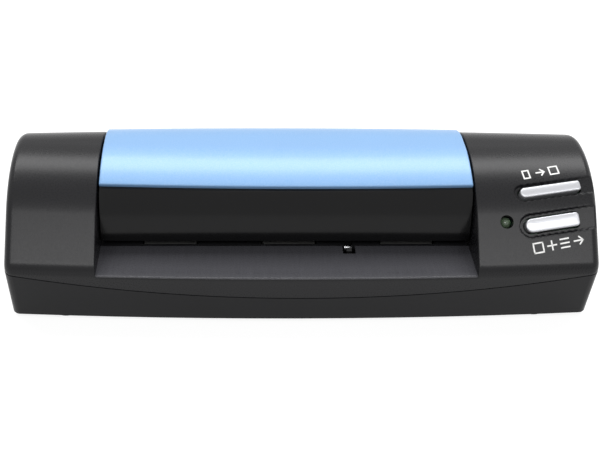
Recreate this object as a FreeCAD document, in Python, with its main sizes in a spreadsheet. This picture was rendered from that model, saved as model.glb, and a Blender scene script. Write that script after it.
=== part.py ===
import FreeCAD, Part
import math
import os
import Sketcher
from types import SimpleNamespace

# Compact business card scanner: a long desk box with a hinged middle cover.
# X runs along the body, Y runs from the card slot to the rear, Z is up.
# The origin is below the middle of the overall box, on the table.
# All lengths are in millimetres and all angles in degrees.

# Sizes of the outer form
OUTER = {
    "body_length": 165.0,
    "end_depth": 49.5,
    "front_bow": 2.5,
    "rear_bow": 2.0,
    "crest_height": 39.8,
    "foot_height": 1.5,
    "front_undercut": 1.9,
    "nose_radius": 5.0,
    "slope_angle": 46.0,
    "brow_radius": 30.0,
    "back_radius": 16.5,
    "end_edge_radius": 2.5,
    "wall": 2.0,
    "seam_end_height": 17.3,
    "seam_mid_height": 10.0,
    "seam_gap": 0.3,
}

# Sizes of the card path
PATH = {
    "throat_left": 57.3,
    "throat_right": 47.9,
    "throat_wall": 1.6,
    "shelf_height": 17.5,
    "shelf_thickness": 2.0,
    "shelf_rear": 12.0,
    "rail_height": 29.4,
    "exit_slot_height": 3.4,
    "exit_slot_inset": 3.0,
    "guide_thickness": 1.6,
    "path_gap": 1.1,
    "window_gap": 0.5,
}

# Sizes of the hinged cover
COVER = {
    "cover_side_gap": 0.6,
    "cover_wall": 1.8,
    "panel_proud": 0.7,
    "panel_thickness": 1.6,
    "panel_gap": 0.1,
    "panel_rear": 18.8,
    "panel_lip_drop": 0.4,
    "bar_foot_y": 13.4,
    "bar_foot_height": 20.4,
    "bar_head_y": 9.5,
    "bar_head_height": 34.5,
    "bar_face_radius": 30.0,
    "hinge_y": 20.4,
    "hinge_height": 32.4,
    "hinge_lean": 50.0,
    "barrel_radius": 2.8,
    "barrel_clearance": 1.3,
    "pin_radius": 1.0,
    "pin_clearance": 0.05,
    "pin_length": 9.0,
    "platen_gap": 0.4,
    "platen_height": 3.0,
    "platen_inset": 5.0,
    "seat_width": 2.4,
    "seat_drop": 1.6,
    "spring_inset": 12.0,
    "spring_length": 6.0,
    "spring_radius": 1.6,
    "spring_wire": 0.25,
    "spring_turns": 5,
}

# Sizes of the rollers and shafts
ROLLERS = {
    "roller_proud": 0.3,
    "nip_gap": 0.3,
    "feed_y": 6.5,
    "feed_radius": 5.0,
    "exit_y": 16.4,
    "exit_radius": 5.0,
    "shaft_radius": 2.0,
    "shaft_clearance": 0.05,
    "sleeve_length": 15.0,
    "sleeve_pitch": 34.0,
    "roller_centre_x": -3.7,
    "pinch_radius": 2.6,
    "pinch_lead": 0.8,
    "pinch_shaft_radius": 1.0,
    "pinch_length": 9.0,
    "bush_radius": 2.6,
    "bush_flange_radius": 3.0,
    "bush_flange": 0.8,
    "clip_radius": 3.0,
    "clip_thickness": 0.6,
    "clip_gap": 0.15,
    "side_plate_thickness": 1.5,
    "plate_foot": 6.0,
    "plate_foot_y": 2.0,
    "shaft_overhang": 1.2,
    "guide_rear_gap": 0.4,
}

# Sizes of the gear train, module 0.5
GEARS = {
    "gear_module": 0.5,
    "gear_backlash": 0.12,
    "gear_start": 51.3,
    "gear_width": 3.0,
    "stage_gap": 0.6,
    "wheel_width": 2.6,
    "feed_teeth": 28,
    "exit_teeth": 22,
    "idler_teeth": 24,
    "small_teeth": 14,
    "wheel_teeth": 28,
    "pinion_teeth": 12,
    "gear_bore_clearance": 0.05,
    "post_radius": 1.5,
    "compound_angle": 120.0,
    "motor_angle": -21.0,
    "motor_radius": 10.0,
    "motor_length": 12.5,
    "motor_shaft_radius": 0.75,
    "motor_boss_radius": 3.5,
    "bracket_thickness": 1.0,
    "bracket_gap": 0.5,
    "bracket_front": 2.5,
    "bracket_rear": 21.0,
    "bracket_shoulder": 24.0,
    "bracket_slope": 7.0,
    "bracket_top": 32.0,
    "hub_wall": 1.4,
    "dish_depth": 0.8,
}

# Sizes of the scan module
SENSOR = {
    "module_y": 5.0,
    "module_width": 10.8,
    "module_left": 53.0,
    "module_right": 45.0,
    "module_floor": 8.0,
    "module_wall": 1.4,
    "glass_thickness": 1.2,
    "glass_below_path": 0.1,
    "module_board_thickness": 1.2,
    "lens_width": 2.0,
    "lens_height": 3.5,
    "lens_gap": 0.6,
    "lever_x": 13.3,
    "lever_front": 13.8,
    "lever_reach": 4.2,
    "lever_width": 1.4,
    "lever_gap": 0.4,
    "lever_pivot_z": 12.5,
    "lever_proud": 0.7,
    "flag_drop": 6.5,
    "gate_width": 6.0,
    "gate_height": 5.0,
    "gate_floor": 1.2,
}

# Sizes of the buttons and lamp in the right housing
CONTROLS = {
    "scan_x": 69.1,
    "scan_slope": 32.7,
    "scan_length": 17.4,
    "scan_width": 2.9,
    "custom_x": 69.1,
    "custom_up": 11.1,
    "custom_length": 15.2,
    "custom_width": 3.9,
    "button_slant": 8.7,
    "button_proud": 0.5,
    "button_depth": 3.2,
    "button_travel": 0.5,
    "button_gap": 0.25,
    "channel_depth": 1.2,
    "scan_channel_width": 4.8,
    "custom_channel_width": 6.4,
    "channel_lead": 1.6,
    "lamp_x": 56.2,
    "lamp_up": 11.6,
    "lamp_radius": 1.5,
    "lamp_hole_radius": 1.7,
    "lamp_sink": 0.5,
    "switch_height": 2.4,
    "switch_side": 4.4,
    "switch_gap": 0.2,
    "button_board_thickness": 1.2,
    "channel_slack": 0.3,
    "rim_width": 0.5,
    "rim_slack": 0.75,
    "plunger": 0.6,
    "switch_margin": 0.8,
    "card_lead": 1.5,
    "card_post_radius": 0.7,
    "lamp_stem": 2.6,
    "lamp_collar": 0.8,
}

# Sizes of the boards, feet and fasteners
FITTINGS = {
    "foot_radius": 4.5,
    "foot_slack": 0.1,
    "post_inset": 6.5,
    "post_front_y": 15.0,
    "post_rear_y": 17.0,
    "post_split": 13.0,
    "post_cap": 0.4,
    "gusset": 1.6,
    "label_length": 60.0,
    "label_width": 20.0,
    "label_depth": 0.4,
    "foot_recess": 0.8,
    "foot_inset_x": 15.0,
    "foot_inset_y": 9.5,
    "board_height": 6.0,
    "board_thickness": 1.6,
    "screw_radius": 1.3,
    "screw_head_radius": 2.4,
    "screw_head": 1.6,
    "screw_length": 8.0,
    "screw_slack": 0.2,
    "screw_sink": 6.0,
    "boss_radius": 3.0,
    "usb_x": 66.0,
    "usb_width": 7.7,
    "usb_height": 3.9,
    "usb_depth": 9.2,
    "usb_gap": 0.3,
    "usb_wall": 0.4,
    "usb_cavity": 7.0,
    "usb_shy": 0.4,
    "board_gap": 0.6,
    "board_front": 17.0,
    "board_rear": 21.0,
    "board_leg": 3.0,
    "board_leg_front": 6.5,
    "board_leg_rear": 8.0,
    "chip_x": 64.0,
    "chip_y": -12.0,
    "chip_pitch": 9.0,
    "chip_side": 6.0,
    "chip_height": 1.2,
}
SIZES = {**OUTER, **PATH, **COVER, **ROLLERS, **GEARS, **SENSOR, **CONTROLS, **FITTINGS}

doc = FreeCAD.newDocument("card_scanner")
sheet = doc.addObject("Spreadsheet::Sheet", "sizes")


class Size:
    """A number together with the sheet formula that gives it."""

    def __init__(self, number, formula):
        self.number = number
        self.formula = formula

    def __add__(self, other):
        other = as_size(other)
        return Size(self.number + other.number, f"({self.formula} + {other.formula})")

    def __sub__(self, other):
        other = as_size(other)
        return Size(self.number - other.number, f"({self.formula} - {other.formula})")

    def __mul__(self, other):
        other = as_size(other)
        return Size(self.number * other.number, f"({self.formula} * {other.formula})")

    def __truediv__(self, other):
        other = as_size(other)
        return Size(self.number / other.number, f"({self.formula} / {other.formula})")

    def __radd__(self, other):
        return as_size(other) + self

    def __rsub__(self, other):
        return as_size(other) - self

    def __rmul__(self, other):
        return as_size(other) * self

    def __neg__(self):
        return Size(-self.number, f"(0 - {self.formula})")


def as_size(value):
    """Take a plain number or a Size and give a Size."""
    if isinstance(value, Size):
        return value
    return Size(float(value), f"({float(value):.10g})")


def sine(angle):
    """Sine of an angle in degrees."""
    return Size(math.sin(math.radians(angle.number)), f"sin({angle.formula} * 1 deg)")


def cosine(angle):
    """Cosine of an angle in degrees."""
    return Size(math.cos(math.radians(angle.number)), f"cos({angle.formula} * 1 deg)")


def root(value):
    """Square root."""
    return Size(math.sqrt(value.number), f"sqrt({value.formula})")


S = SimpleNamespace()
for row, (alias, number) in enumerate(SIZES.items(), start=1):
    sheet.set(f"A{row}", alias)
    sheet.set(f"B{row}", str(number))
    sheet.setAlias(f"B{row}", alias)
    setattr(S, alias, Size(float(number), f"sizes.{alias}"))
doc.recompute()

PARTS = []
X_AXIS = FreeCAD.Rotation(FreeCAD.Vector(0, 1, 0), 90)
Y_AXIS = FreeCAD.Rotation(FreeCAD.Vector(1, 0, 0), -90)
Z_AXIS = FreeCAD.Rotation()
TURNS = {"X": X_AXIS, "Y": Y_AXIS, "Z": Z_AXIS}
# A sketch on the YZ plane has Y to its right, Z up and X as its normal
PLANES = {
    "XY": FreeCAD.Rotation(),
    "XZ": FreeCAD.Rotation(FreeCAD.Vector(1, 0, 0), 90),
    "YZ": FreeCAD.Rotation(FreeCAD.Vector(1, 1, 1), 120),
}


def bind(item, prop, value):
    """Bind a property to the sheet, after setting it to its present number."""
    item.setExpression(prop, as_size(value).formula)


def place(item, x=0, y=0, z=0):
    """Bind the three coordinates of an item's place."""
    for letter, value in zip("xyz", (x, y, z)):
        bind(item, f"Placement.Base.{letter}", value)


def part(item, label):
    """Keep a finished item as one named piece of the object."""
    item.Label = label
    PARTS.append(item)
    return item


def block(name, x, y, z):
    """Box between two limits along each axis."""
    item = doc.addObject("Part::Box", name)
    for prop, (low, high) in zip(("Length", "Width", "Height"), (x, y, z)):
        bind(item, prop, as_size(high) - low)
    place(item, x[0], y[0], z[0])
    return item


def rod(name, axis, radius, span, at):
    """Cylinder along X, Y or Z between two limits, at the other two coordinates."""
    item = doc.addObject("Part::Cylinder", name)
    bind(item, "Radius", radius)
    bind(item, "Height", as_size(span[1]) - span[0])
    item.Placement = FreeCAD.Placement(FreeCAD.Vector(), TURNS[axis])
    first, second = at
    spots = {"X": (span[0], first, second), "Y": (first, span[0], second), "Z": (first, second, span[0])}
    place(item, *spots[axis])
    return item


def fuse(name, items):
    """One solid from several that touch or overlap."""
    item = doc.addObject("Part::MultiFuse", name)
    item.Shapes = items
    item.Refine = True
    return item


def overlap(name, items):
    """What several solids have in common."""
    item = doc.addObject("Part::MultiCommon", name)
    item.Shapes = items
    item.Refine = True
    return item


def cut(name, base, tools):
    """A solid less one or more others."""
    item = doc.addObject("Part::Cut", name)
    item.Base = base
    item.Tool = tools[0] if len(tools) == 1 else fuse(name + "_tools", tools)
    item.Refine = True
    return item


def group(name, items):
    """Several separate solids kept as one piece."""
    item = doc.addObject("Part::Compound", name)
    item.Links = items
    return item


def tube(name, axis, outer, inner, span, at):
    """Round sleeve along an axis."""
    return cut(name, rod(name + "_out", axis, outer, span, at), [rod(name + "_bore", axis, inner, span, at)])


def arc_middle(start, end, radius, bulge):
    """Middle point of an arc that bulges to the left (1) or right (-1) of its chord."""
    dx = end[0] - start[0]
    dy = end[1] - start[1]
    chord = math.hypot(dx, dy)
    rise = radius - math.sqrt(radius * radius - chord * chord / 4)
    return ((start[0] + end[0]) / 2 - bulge * dy / chord * rise,
            (start[1] + end[1]) / 2 + bulge * dx / chord * rise)


def draw(sketch, corners):
    """Draw a closed outline and bind every corner to the sheet.

    A corner is (x, y), or (x, y, radius, bulge) where an arc leads from it to the next one.
    """
    numbers = [(as_size(corner[0]).number, as_size(corner[1]).number) for corner in corners]
    ends = []
    for index, corner in enumerate(corners):
        start = numbers[index]
        end = numbers[(index + 1) % len(corners)]
        first = FreeCAD.Vector(*start, 0)
        last = FreeCAD.Vector(*end, 0)
        if len(corner) == 2:
            sketch.addGeometry(Part.LineSegment(first, last), False)
            ends.append((1, 2))
            continue
        radius = as_size(corner[2])
        middle = FreeCAD.Vector(*arc_middle(start, end, radius.number, corner[3]), 0)
        curve = Part.ArcOfCircle(first, middle, last)
        centre = curve.Center
        angles = [math.atan2(p.y - centre.y, p.x - centre.x) for p in (first, last)]
        clockwise = corner[3] == 1
        if clockwise:
            angles.reverse()
        flat = Part.Circle(centre, FreeCAD.Vector(0, 0, 1), curve.Radius)
        sketch.addGeometry(Part.ArcOfCircle(flat, angles[0], angles[1]), False)
        ends.append((2, 1) if clockwise else (1, 2))
        number = sketch.addConstraint(Sketcher.Constraint("Radius", index, radius.number))
        sketch.setExpression(f"Constraints[{number}]", radius.formula)
    for index, corner in enumerate(corners):
        before = index - 1 if index else len(corners) - 1
        meeting = Sketcher.Constraint("Coincident", before, ends[before][1], index, ends[index][0])
        sketch.addConstraint(meeting)
        for kind, value in zip(("DistanceX", "DistanceY"), corner[:2]):
            value = as_size(value)
            number = sketch.addConstraint(Sketcher.Constraint(kind, index, ends[index][0], value.number))
            sketch.setExpression(f"Constraints[{number}]", value.formula)


def outline(name, plane, corners):
    """Sketch that stands alone on one of the main planes."""
    sketch = doc.addObject("Sketcher::SketchObject", name)
    sketch.Placement = FreeCAD.Placement(FreeCAD.Vector(), PLANES[plane])
    draw(sketch, corners)
    return sketch


def prism(name, plane, corners, span):
    """Outline pushed along its plane's normal between two limits."""
    item = doc.addObject("Part::Extrusion", name)
    item.Base = outline(name + "_outline", plane, corners)
    item.DirMode = "Normal"
    item.Solid = True
    bind(item, "LengthFwd", as_size(span[1]))
    bind(item, "LengthRev", -as_size(span[0]))
    return item


def body_pad(name, plane, corners, span):
    """PartDesign body: an outline padded between two limits along its plane's normal."""
    body = doc.addObject("PartDesign::Body", name)
    sketch = body.newObject("Sketcher::SketchObject", name + "_sketch")
    role = plane + "_Plane"
    base = next(item for item in body.Origin.OriginFeatures if item.Role == role)
    sketch.AttachmentSupport = [(base, "")]
    sketch.MapMode = "FlatFace"
    bind(sketch, "AttachmentOffset.Base.z", span[0])
    draw(sketch, corners)
    pad = body.newObject("PartDesign::Pad", name + "_pad")
    pad.Profile = sketch
    bind(pad, "Length", as_size(span[1]) - span[0])
    return body


def rectangle(x, y):
    """Corners of an upright rectangle."""
    return [(x[0], y[0]), (x[1], y[0]), (x[1], y[1]), (x[0], y[1])]

# Outer form: a front half and a rear half, each turned about a far upright axis for its bow
HALF_DEPTH = (S.end_depth + S.front_bow + S.rear_bow) / 2
HALF_LENGTH = S.body_length / 2
SLOPE_SIN = sine(S.slope_angle)
SLOPE_COS = cosine(S.slope_angle)
NOSE_TOP_Y = S.nose_radius - S.nose_radius * SLOPE_SIN
NOSE_TOP_Z = S.seam_end_height + S.nose_radius * SLOPE_COS
BROW_FOOT_Z = S.crest_height - S.brow_radius + S.brow_radius * SLOPE_COS
CREST_DEPTH = NOSE_TOP_Y + S.brow_radius * SLOPE_SIN + (BROW_FOOT_Z - NOSE_TOP_Z) * SLOPE_COS / SLOPE_SIN
FAR = HALF_DEPTH * 2
SKY = S.crest_height * 2


def bow_radius(bow):
    """Plan radius of a side that bulges by a bow over the whole length."""
    return (HALF_LENGTH * HALF_LENGTH + bow * bow) / (bow * 2)


FRONT_PLAN = bow_radius(S.front_bow)
REAR_PLAN = bow_radius(S.rear_bow)
CREST_Y = (CREST_DEPTH + S.front_bow - S.back_radius - S.rear_bow) / 2
SPARE_TURN = 63


def turned(name, corners, axis_y, plan_radius):
    """Profile on the YZ plane turned both ways about an upright axis."""
    item = doc.addObject("Part::Revolution", name)
    item.Source = outline(name + "_outline", "YZ", corners)
    item.Axis = FreeCAD.Vector(0, 0, 1)
    item.Solid = True
    item.Symmetric = True
    bind(item, "Base.y", axis_y)
    bind(item, "Angle", S.body_length / plan_radius * SPARE_TURN)
    return item


def form(name, inset, floor):
    """Solid of the outer form drawn in by an inset, down to a floor height."""
    front = -HALF_DEPTH + inset
    crest = S.crest_height - inset
    nose_y = -HALF_DEPTH + S.nose_radius
    brow_y = -HALF_DEPTH + CREST_DEPTH
    brow_z = S.crest_height - S.brow_radius
    nose = S.nose_radius - inset
    brow = S.brow_radius - inset
    front_corners = [
        (FAR, floor),
        (front + S.front_undercut, floor),
        (front, S.seam_end_height, nose, 1),
        (nose_y - nose * SLOPE_SIN, S.seam_end_height + nose * SLOPE_COS),
        (brow_y - brow * SLOPE_SIN, brow_z + brow * SLOPE_COS, brow, 1),
        (brow_y, crest),
        (FAR, crest),
    ]
    rear = HALF_DEPTH - inset
    back = S.back_radius - inset
    rear_corners = [
        (-FAR, floor),
        (rear, floor),
        (rear, S.crest_height - S.back_radius, back, -1),
        (HALF_DEPTH - S.back_radius, crest),
        (-FAR, crest),
    ]
    across = (inset - HALF_LENGTH, HALF_LENGTH - inset)
    halves = [
        (turned(name + "_fore", front_corners, FRONT_PLAN - HALF_DEPTH, FRONT_PLAN), (-FAR, CREST_Y)),
        (turned(name + "_aft", rear_corners, HALF_DEPTH - REAR_PLAN, REAR_PLAN), (CREST_Y, FAR)),
    ]
    sides = []
    for half, depth in halves:
        slab = block(half.Name + "_slab", across, depth, (0, SKY))
        sides.append(overlap(half.Name + "_half", [half, slab]))
    return fuse(name, sides)


def rounded(name, base, radius, chosen):
    """Fillet on the edges of a solid that a test chooses."""
    doc.recompute()
    item = doc.addObject("Part::Fillet", name)
    item.Base = base
    item.Edges = [(index, radius.number, radius.number)
                  for index, edge in enumerate(base.Shape.Edges, start=1) if chosen(edge)]
    return item


def on_end_rim(edge):
    """Edge of an end face, above the underside."""
    box = edge.BoundBox
    at_end = abs(abs(box.XMin) - HALF_LENGTH.number) < 0.01 and box.XLength < 0.01
    return at_end and box.ZMax > S.foot_height.number + 0.01


def front_face_y(x):
    """Y of the front face's foot of the slope at a distance along the body."""
    return -HALF_DEPTH + FRONT_PLAN - root(FRONT_PLAN * FRONT_PLAN - x * x)


def slope_spot(x, up):
    """Point on the straight slope, a distance up from its foot."""
    return (front_face_y(x) + NOSE_TOP_Y + up * SLOPE_COS, NOSE_TOP_Z + up * SLOPE_SIN)


def brow_spot(x, slope):
    """Point on the curved brow where the surface has a given slope."""
    middle = front_face_y(x) + CREST_DEPTH
    height = S.crest_height - S.brow_radius + S.brow_radius * cosine(slope)
    return (middle - S.brow_radius * sine(slope), height)


outer_block = form("outer_block", as_size(0), S.foot_height)
outer_form = rounded("outer_form", outer_block, S.end_edge_radius, on_end_rim)
inner_form = form("inner_form", S.wall, S.foot_height + S.wall)
casing_wall = cut("casing_wall", outer_form, [inner_form])

# The casings part along a shallow arc, low in the middle of the front
SEAM_RISE = S.seam_end_height - S.seam_mid_height
SEAM_RADIUS = (HALF_LENGTH * HALF_LENGTH + SEAM_RISE * SEAM_RISE) / (SEAM_RISE * 2)
SEAM_CENTRE = S.seam_mid_height + SEAM_RADIUS
above_seam = rod("above_seam", "Y", SEAM_RADIUS, (-FAR, FAR), (0, SEAM_CENTRE))
above_gap = rod("above_gap", "Y", SEAM_RADIUS + S.seam_gap, (-FAR, FAR), (0, SEAM_CENTRE))

THROAT_X = (-S.throat_left, S.throat_right)
SHELF_FOOT = S.shelf_height - S.shelf_thickness
CASING_FLOOR = S.foot_height + S.wall
HINGE = (S.hinge_y, S.hinge_height)
SENSOR_X = S.lever_x
FEED_SPOT = (-S.feed_y, S.shelf_height + S.roller_proud - S.feed_radius)
EXIT_SPOT = (S.exit_y, S.shelf_height + S.roller_proud - S.exit_radius)
SWITCH_TOP = S.button_depth + S.button_travel + S.switch_gap
SWITCH_FOOT = SWITCH_TOP + S.switch_height


def tilted(item, x, spot, slope, slant):
    """Place an item, drawn flat, on the outer surface with its own normal outwards."""
    lean = FreeCAD.Rotation(FreeCAD.Vector(1, 0, 0), slope.number)
    turn = FreeCAD.Rotation(FreeCAD.Vector(0, 0, 1), slant.number)
    item.Placement = FreeCAD.Placement(FreeCAD.Vector(), lean.multiply(turn))
    place(item, x, *spot)
    return item


def slot_corners(length, width, grow=0):
    """Long outline with a round left end and a squarer right end."""
    half = length / 2 + grow
    side = width / 2 + grow
    corner = side / 2
    return [
        (-half + side, -side),
        (half - corner, -side, corner, -1),
        (half, -side + corner),
        (half, side - corner, corner, -1),
        (half - corner, side),
        (-half + side, side, side, -1),
        (-half, as_size(0), side, -1),
    ]


SCAN_SPOT = brow_spot(S.scan_x, S.scan_slope)
CUSTOM_SPOT = slope_spot(S.custom_x, S.custom_up)
LAMP_SPOT = slope_spot(S.lamp_x, S.lamp_up)
BUTTONS = {
    "scan": (S.scan_x, SCAN_SPOT, S.scan_slope, S.scan_length, S.scan_width, S.scan_channel_width),
    "custom": (S.custom_x, CUSTOM_SPOT, S.slope_angle, S.custom_length, S.custom_width,
               S.custom_channel_width),
}


def channel(name, x, spot, slope, length, width):
    """Shallow open groove round a button, from a round left end out through the end face."""
    side = width / 2
    left = -length / 2 - S.channel_lead
    right = length / 2 + HALF_LENGTH / 2
    corners = [
        (left + side, -side),
        (right, -side),
        (right, side),
        (left + side, side, side, -1),
        (left, as_size(0), side, -1),
    ]
    item = prism(name, "XY", corners, (-S.channel_depth, S.channel_depth * 4))
    return tilted(item, x, spot, slope, S.button_slant)


def button_hole(name, x, spot, slope, length, width):
    """Hole through the housing for a button."""
    outline = slot_corners(length, width, S.button_gap)
    item = prism(name, "XY", outline, (-S.button_depth * 2, S.button_depth))
    return tilted(item, x, spot, slope, S.button_slant)


def casing_posts(name, radius, low, high):
    """Four upright posts near the corners of the casings."""
    items = []
    for side, sign_x in (("left", -1), ("right", 1)):
        for end, spot_y in (("front", -S.post_front_y), ("rear", S.post_rear_y)):
            spot = (sign_x * (HALF_LENGTH - S.post_inset), spot_y)
            items.append(rod(f"{name}_{side}_{end}", "Z", radius, (low, high), spot))
    return items


def card_post(name, x, spot, slope, length):
    """Short post under the roof that carries the left end of a button board."""
    centre = (-length / 2 - S.card_lead, 0)
    post = rod(name, "Z", S.card_post_radius, (-SWITCH_FOOT, -S.wall / 2), centre)
    return tilted(group(name + "_set", [post]),
                  x, spot, slope, S.button_slant)


def upper_casing():
    """Both end housings, the card shelf at the front and the rail at the rear."""
    shell = overlap("upper_wall", [casing_wall, above_seam])
    across = (-S.throat_left - S.throat_wall, S.throat_right + S.throat_wall)
    solid_ends = [
        block("left_throat_wall", (across[0], -S.throat_left), (-FAR, FAR), (SHELF_FOOT, SKY)),
        block("right_throat_wall", (S.throat_right, across[1]), (-FAR, FAR), (SHELF_FOOT, SKY)),
        block("shelf_plate", across, (-FAR, -S.shelf_rear), (SHELF_FOOT, S.shelf_height)),
    ]
    for key, (x, spot, slope, length, *rest) in BUTTONS.items():
        solid_ends.append(card_post(key + "_card_post", x, spot, slope, length))
    post_top = S.post_split + S.screw_length + S.post_cap
    solid_ends += casing_posts("upper_post", S.boss_radius, S.post_split, post_top)
    for side, span in (("left", (-HALF_LENGTH, S.post_inset - HALF_LENGTH)),
                       ("right", (HALF_LENGTH - S.post_inset, HALF_LENGTH))):
        for end, y in (("front", -S.post_front_y), ("rear", S.post_rear_y)):
            solid_ends.append(block(f"{side}_{end}_gusset", span, (y - S.gusset / 2, y + S.gusset / 2),
                                    (S.seam_end_height, post_top)))
    inside = overlap("upper_inside", [fuse("upper_inside_all", solid_ends), outer_form])
    throat = prism("throat", "YZ", [
        (-FAR, S.shelf_height),
        (S.hinge_y, S.shelf_height),
        (S.hinge_y, S.rail_height),
        (FAR, S.rail_height),
        (FAR, SKY),
        (-FAR, SKY),
    ], THROAT_X)
    slot_x = (-S.throat_left + S.exit_slot_inset, S.throat_right - S.exit_slot_inset)
    slot_z = (S.shelf_height, S.shelf_height + S.exit_slot_height)
    pin_x = (across[0] - S.wall, across[1] + S.wall)
    cuts = [
        throat,
        block("exit_slot", slot_x, (S.hinge_y, FAR), slot_z),
        rod("barrel_relief", "X", S.barrel_radius + S.barrel_clearance, THROAT_X, HINGE),
        rod("hinge_pin_holes", "X", S.pin_radius, pin_x, HINGE),
        lamp_hole(),
        lever_slot("shelf_slot"),
        rod("feed_shaft_notch", "X", S.clip_radius + S.window_gap, across, FEED_SPOT),
        rod("exit_shaft_notch", "X", S.clip_radius + S.window_gap, across, EXIT_SPOT),
    ]
    cuts += casing_posts("upper_pilot", S.screw_radius, S.post_split, S.post_split + S.screw_length)
    for key, (x, spot, slope, length, width, groove) in BUTTONS.items():
        cuts.append(channel(key + "_channel", x, spot, slope, length, groove))
        cuts.append(button_hole(key + "_hole", x, spot, slope, length, width))
    return part(cut("upper", fuse("upper_solid", [shell, inside]), cuts), "upper_casing")


def lever_slot(name):
    """Narrow slot in the card path for the card sensing lever."""
    half = S.lever_width / 2 + S.lever_gap
    return block(name, (SENSOR_X - half, SENSOR_X + half),
                 (-S.lever_front - S.lever_width, -S.lever_front + S.lever_reach), (CASING_FLOOR, SKY))


def lamp_hole():
    """Round hole for the status lamp."""
    item = doc.addObject("Part::Cylinder", "lamp_hole")
    bind(item, "Radius", S.lamp_hole_radius)
    bind(item, "Height", S.wall * 4)
    tilted(item, S.lamp_x, LAMP_SPOT, S.slope_angle, as_size(0))
    place(item, S.lamp_x, LAMP_SPOT[0] + S.wall * 2 * SLOPE_SIN, LAMP_SPOT[1] - S.wall * 2 * SLOPE_COS)
    return item


def feet(name, radius, low, high):
    """Four round pads under the lower casing."""
    items = []
    for side, sign_x in (("left", -1), ("right", 1)):
        for end, sign_y in (("front", -1), ("rear", 1)):
            spot = (sign_x * (HALF_LENGTH - S.foot_inset_x), sign_y * (HALF_DEPTH - S.foot_inset_y))
            items.append(rod(f"{name}_{side}_{end}", "Z", radius, (low, high), spot))
    return items


def lower_casing():
    """Tray that carries the mechanism, with posts for the casing screws and seats for the feet."""
    shell = cut("lower_wall", casing_wall, [above_gap])
    posts = casing_posts("lower_post", S.boss_radius, S.foot_height, S.post_split)
    seats = feet("foot_seat", S.foot_radius + S.wall / 2, S.foot_height, CASING_FLOOR + S.foot_recess)
    body = fuse("lower_solid", [shell] + posts + seats)
    cuts = feet("foot_pocket", S.foot_radius, 0, S.foot_height + S.foot_recess)
    cuts += casing_posts("lower_clear", S.screw_radius + S.screw_slack, 0, S.post_split)
    cuts += casing_posts("lower_sink", S.screw_head_radius + S.screw_slack, 0, S.foot_height + S.screw_sink)
    cuts.append(block("usb_mouth", (S.usb_x - USB_HALF - S.usb_gap, S.usb_x + USB_HALF + S.usb_gap),
                      (HALF_DEPTH / 2, FAR), (USB_FOOT - S.usb_gap, USB_FOOT + S.usb_height + S.usb_gap)))
    cuts.append(block("label_recess", (-S.label_length / 2, S.label_length / 2),
                      (-S.label_width / 2, S.label_width / 2), (0, S.foot_height + S.label_depth)))
    return part(cut("lower", body, cuts), "lower_casing")


USB_HALF = S.usb_width / 2
USB_FOOT = S.board_height + S.board_thickness
upper_casing()
lower_casing()
part(group("feet_pads", feet("foot_pad", S.foot_radius - S.foot_slack, 0, S.foot_height + S.foot_recess)),
     "rubber_feet")

COVER_X = (-S.throat_left + S.cover_side_gap, S.throat_right - S.cover_side_gap)
GUIDE_FOOT = S.shelf_height + S.path_gap
GUIDE_TOP = GUIDE_FOOT + S.guide_thickness
HINGE_SIN = sine(S.hinge_lean)
HINGE_COS = cosine(S.hinge_lean)
INNER_X = (COVER_X[0] + S.cover_wall, COVER_X[1] - S.cover_wall)
BAR_FOOT = (-S.bar_foot_y, S.bar_foot_height)
BAR_HEAD = (-S.bar_head_y, S.bar_head_height)
PLATEN_X = (-S.module_left + S.platen_inset, S.module_right - S.platen_inset)
PLATEN_Y = (S.module_y - S.module_width / 2 + S.window_gap, S.module_y + S.module_width / 2 - S.window_gap)
PLATEN_FOOT = S.shelf_height + S.platen_gap
SPRING_SEAT = PLATEN_FOOT + S.platen_height
PINCH_Z = S.shelf_height + S.roller_proud + S.nip_gap + S.pinch_radius
ROLLER_X = [S.roller_centre_x + S.sleeve_pitch * step for step in (-1, 0, 1)]
PINCH_Y = {"front": -S.feed_y, "rear": S.exit_y - S.pinch_lead}


def cover_section():
    """Side view of the space that the cover fills, up to the sky."""
    reach = S.barrel_radius * 3
    return [
        (*BAR_FOOT, S.bar_face_radius, 1),
        BAR_HEAD,
        (BAR_HEAD[0], SKY),
        (S.hinge_y + reach * HINGE_SIN, SKY),
        (S.hinge_y + reach * HINGE_SIN, S.hinge_height + reach * HINGE_COS),
        (S.hinge_y, S.hinge_height),
        (S.hinge_y, GUIDE_TOP),
        (BAR_FOOT[0] + S.cover_wall, GUIDE_TOP),
    ]


def hollow_section():
    """Side view of the hollow inside the cover, up to the sky."""
    back = S.hinge_y - S.cover_wall
    return [
        (BAR_FOOT[0] + S.cover_wall, 0),
        (BAR_FOOT[0] + S.cover_wall, BAR_FOOT[1], S.bar_face_radius - S.cover_wall, 1),
        (BAR_HEAD[0] + S.cover_wall, BAR_HEAD[1]),
        (BAR_HEAD[0] + S.cover_wall, SKY),
        (back, SKY),
        (back, 0),
    ]


def panel_zone(name, gap):
    """Prism over the part of the roof that the coloured panel covers."""
    lean = S.panel_thickness * 2
    front = (BAR_HEAD[0] + gap, BAR_HEAD[1] - S.panel_lip_drop)
    return prism(name, "YZ", [
        (front[0] - lean * SLOPE_SIN, front[1] + lean * SLOPE_COS * 2),
        (front[0] + lean * SLOPE_SIN, front[1] - lean * SLOPE_COS * 2),
        (S.panel_rear - gap, front[1] - lean * SLOPE_COS * 2),
        (S.panel_rear - gap, SKY),
        (front[0] - lean * SLOPE_SIN, SKY),
    ], (-HALF_LENGTH, HALF_LENGTH))


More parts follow.
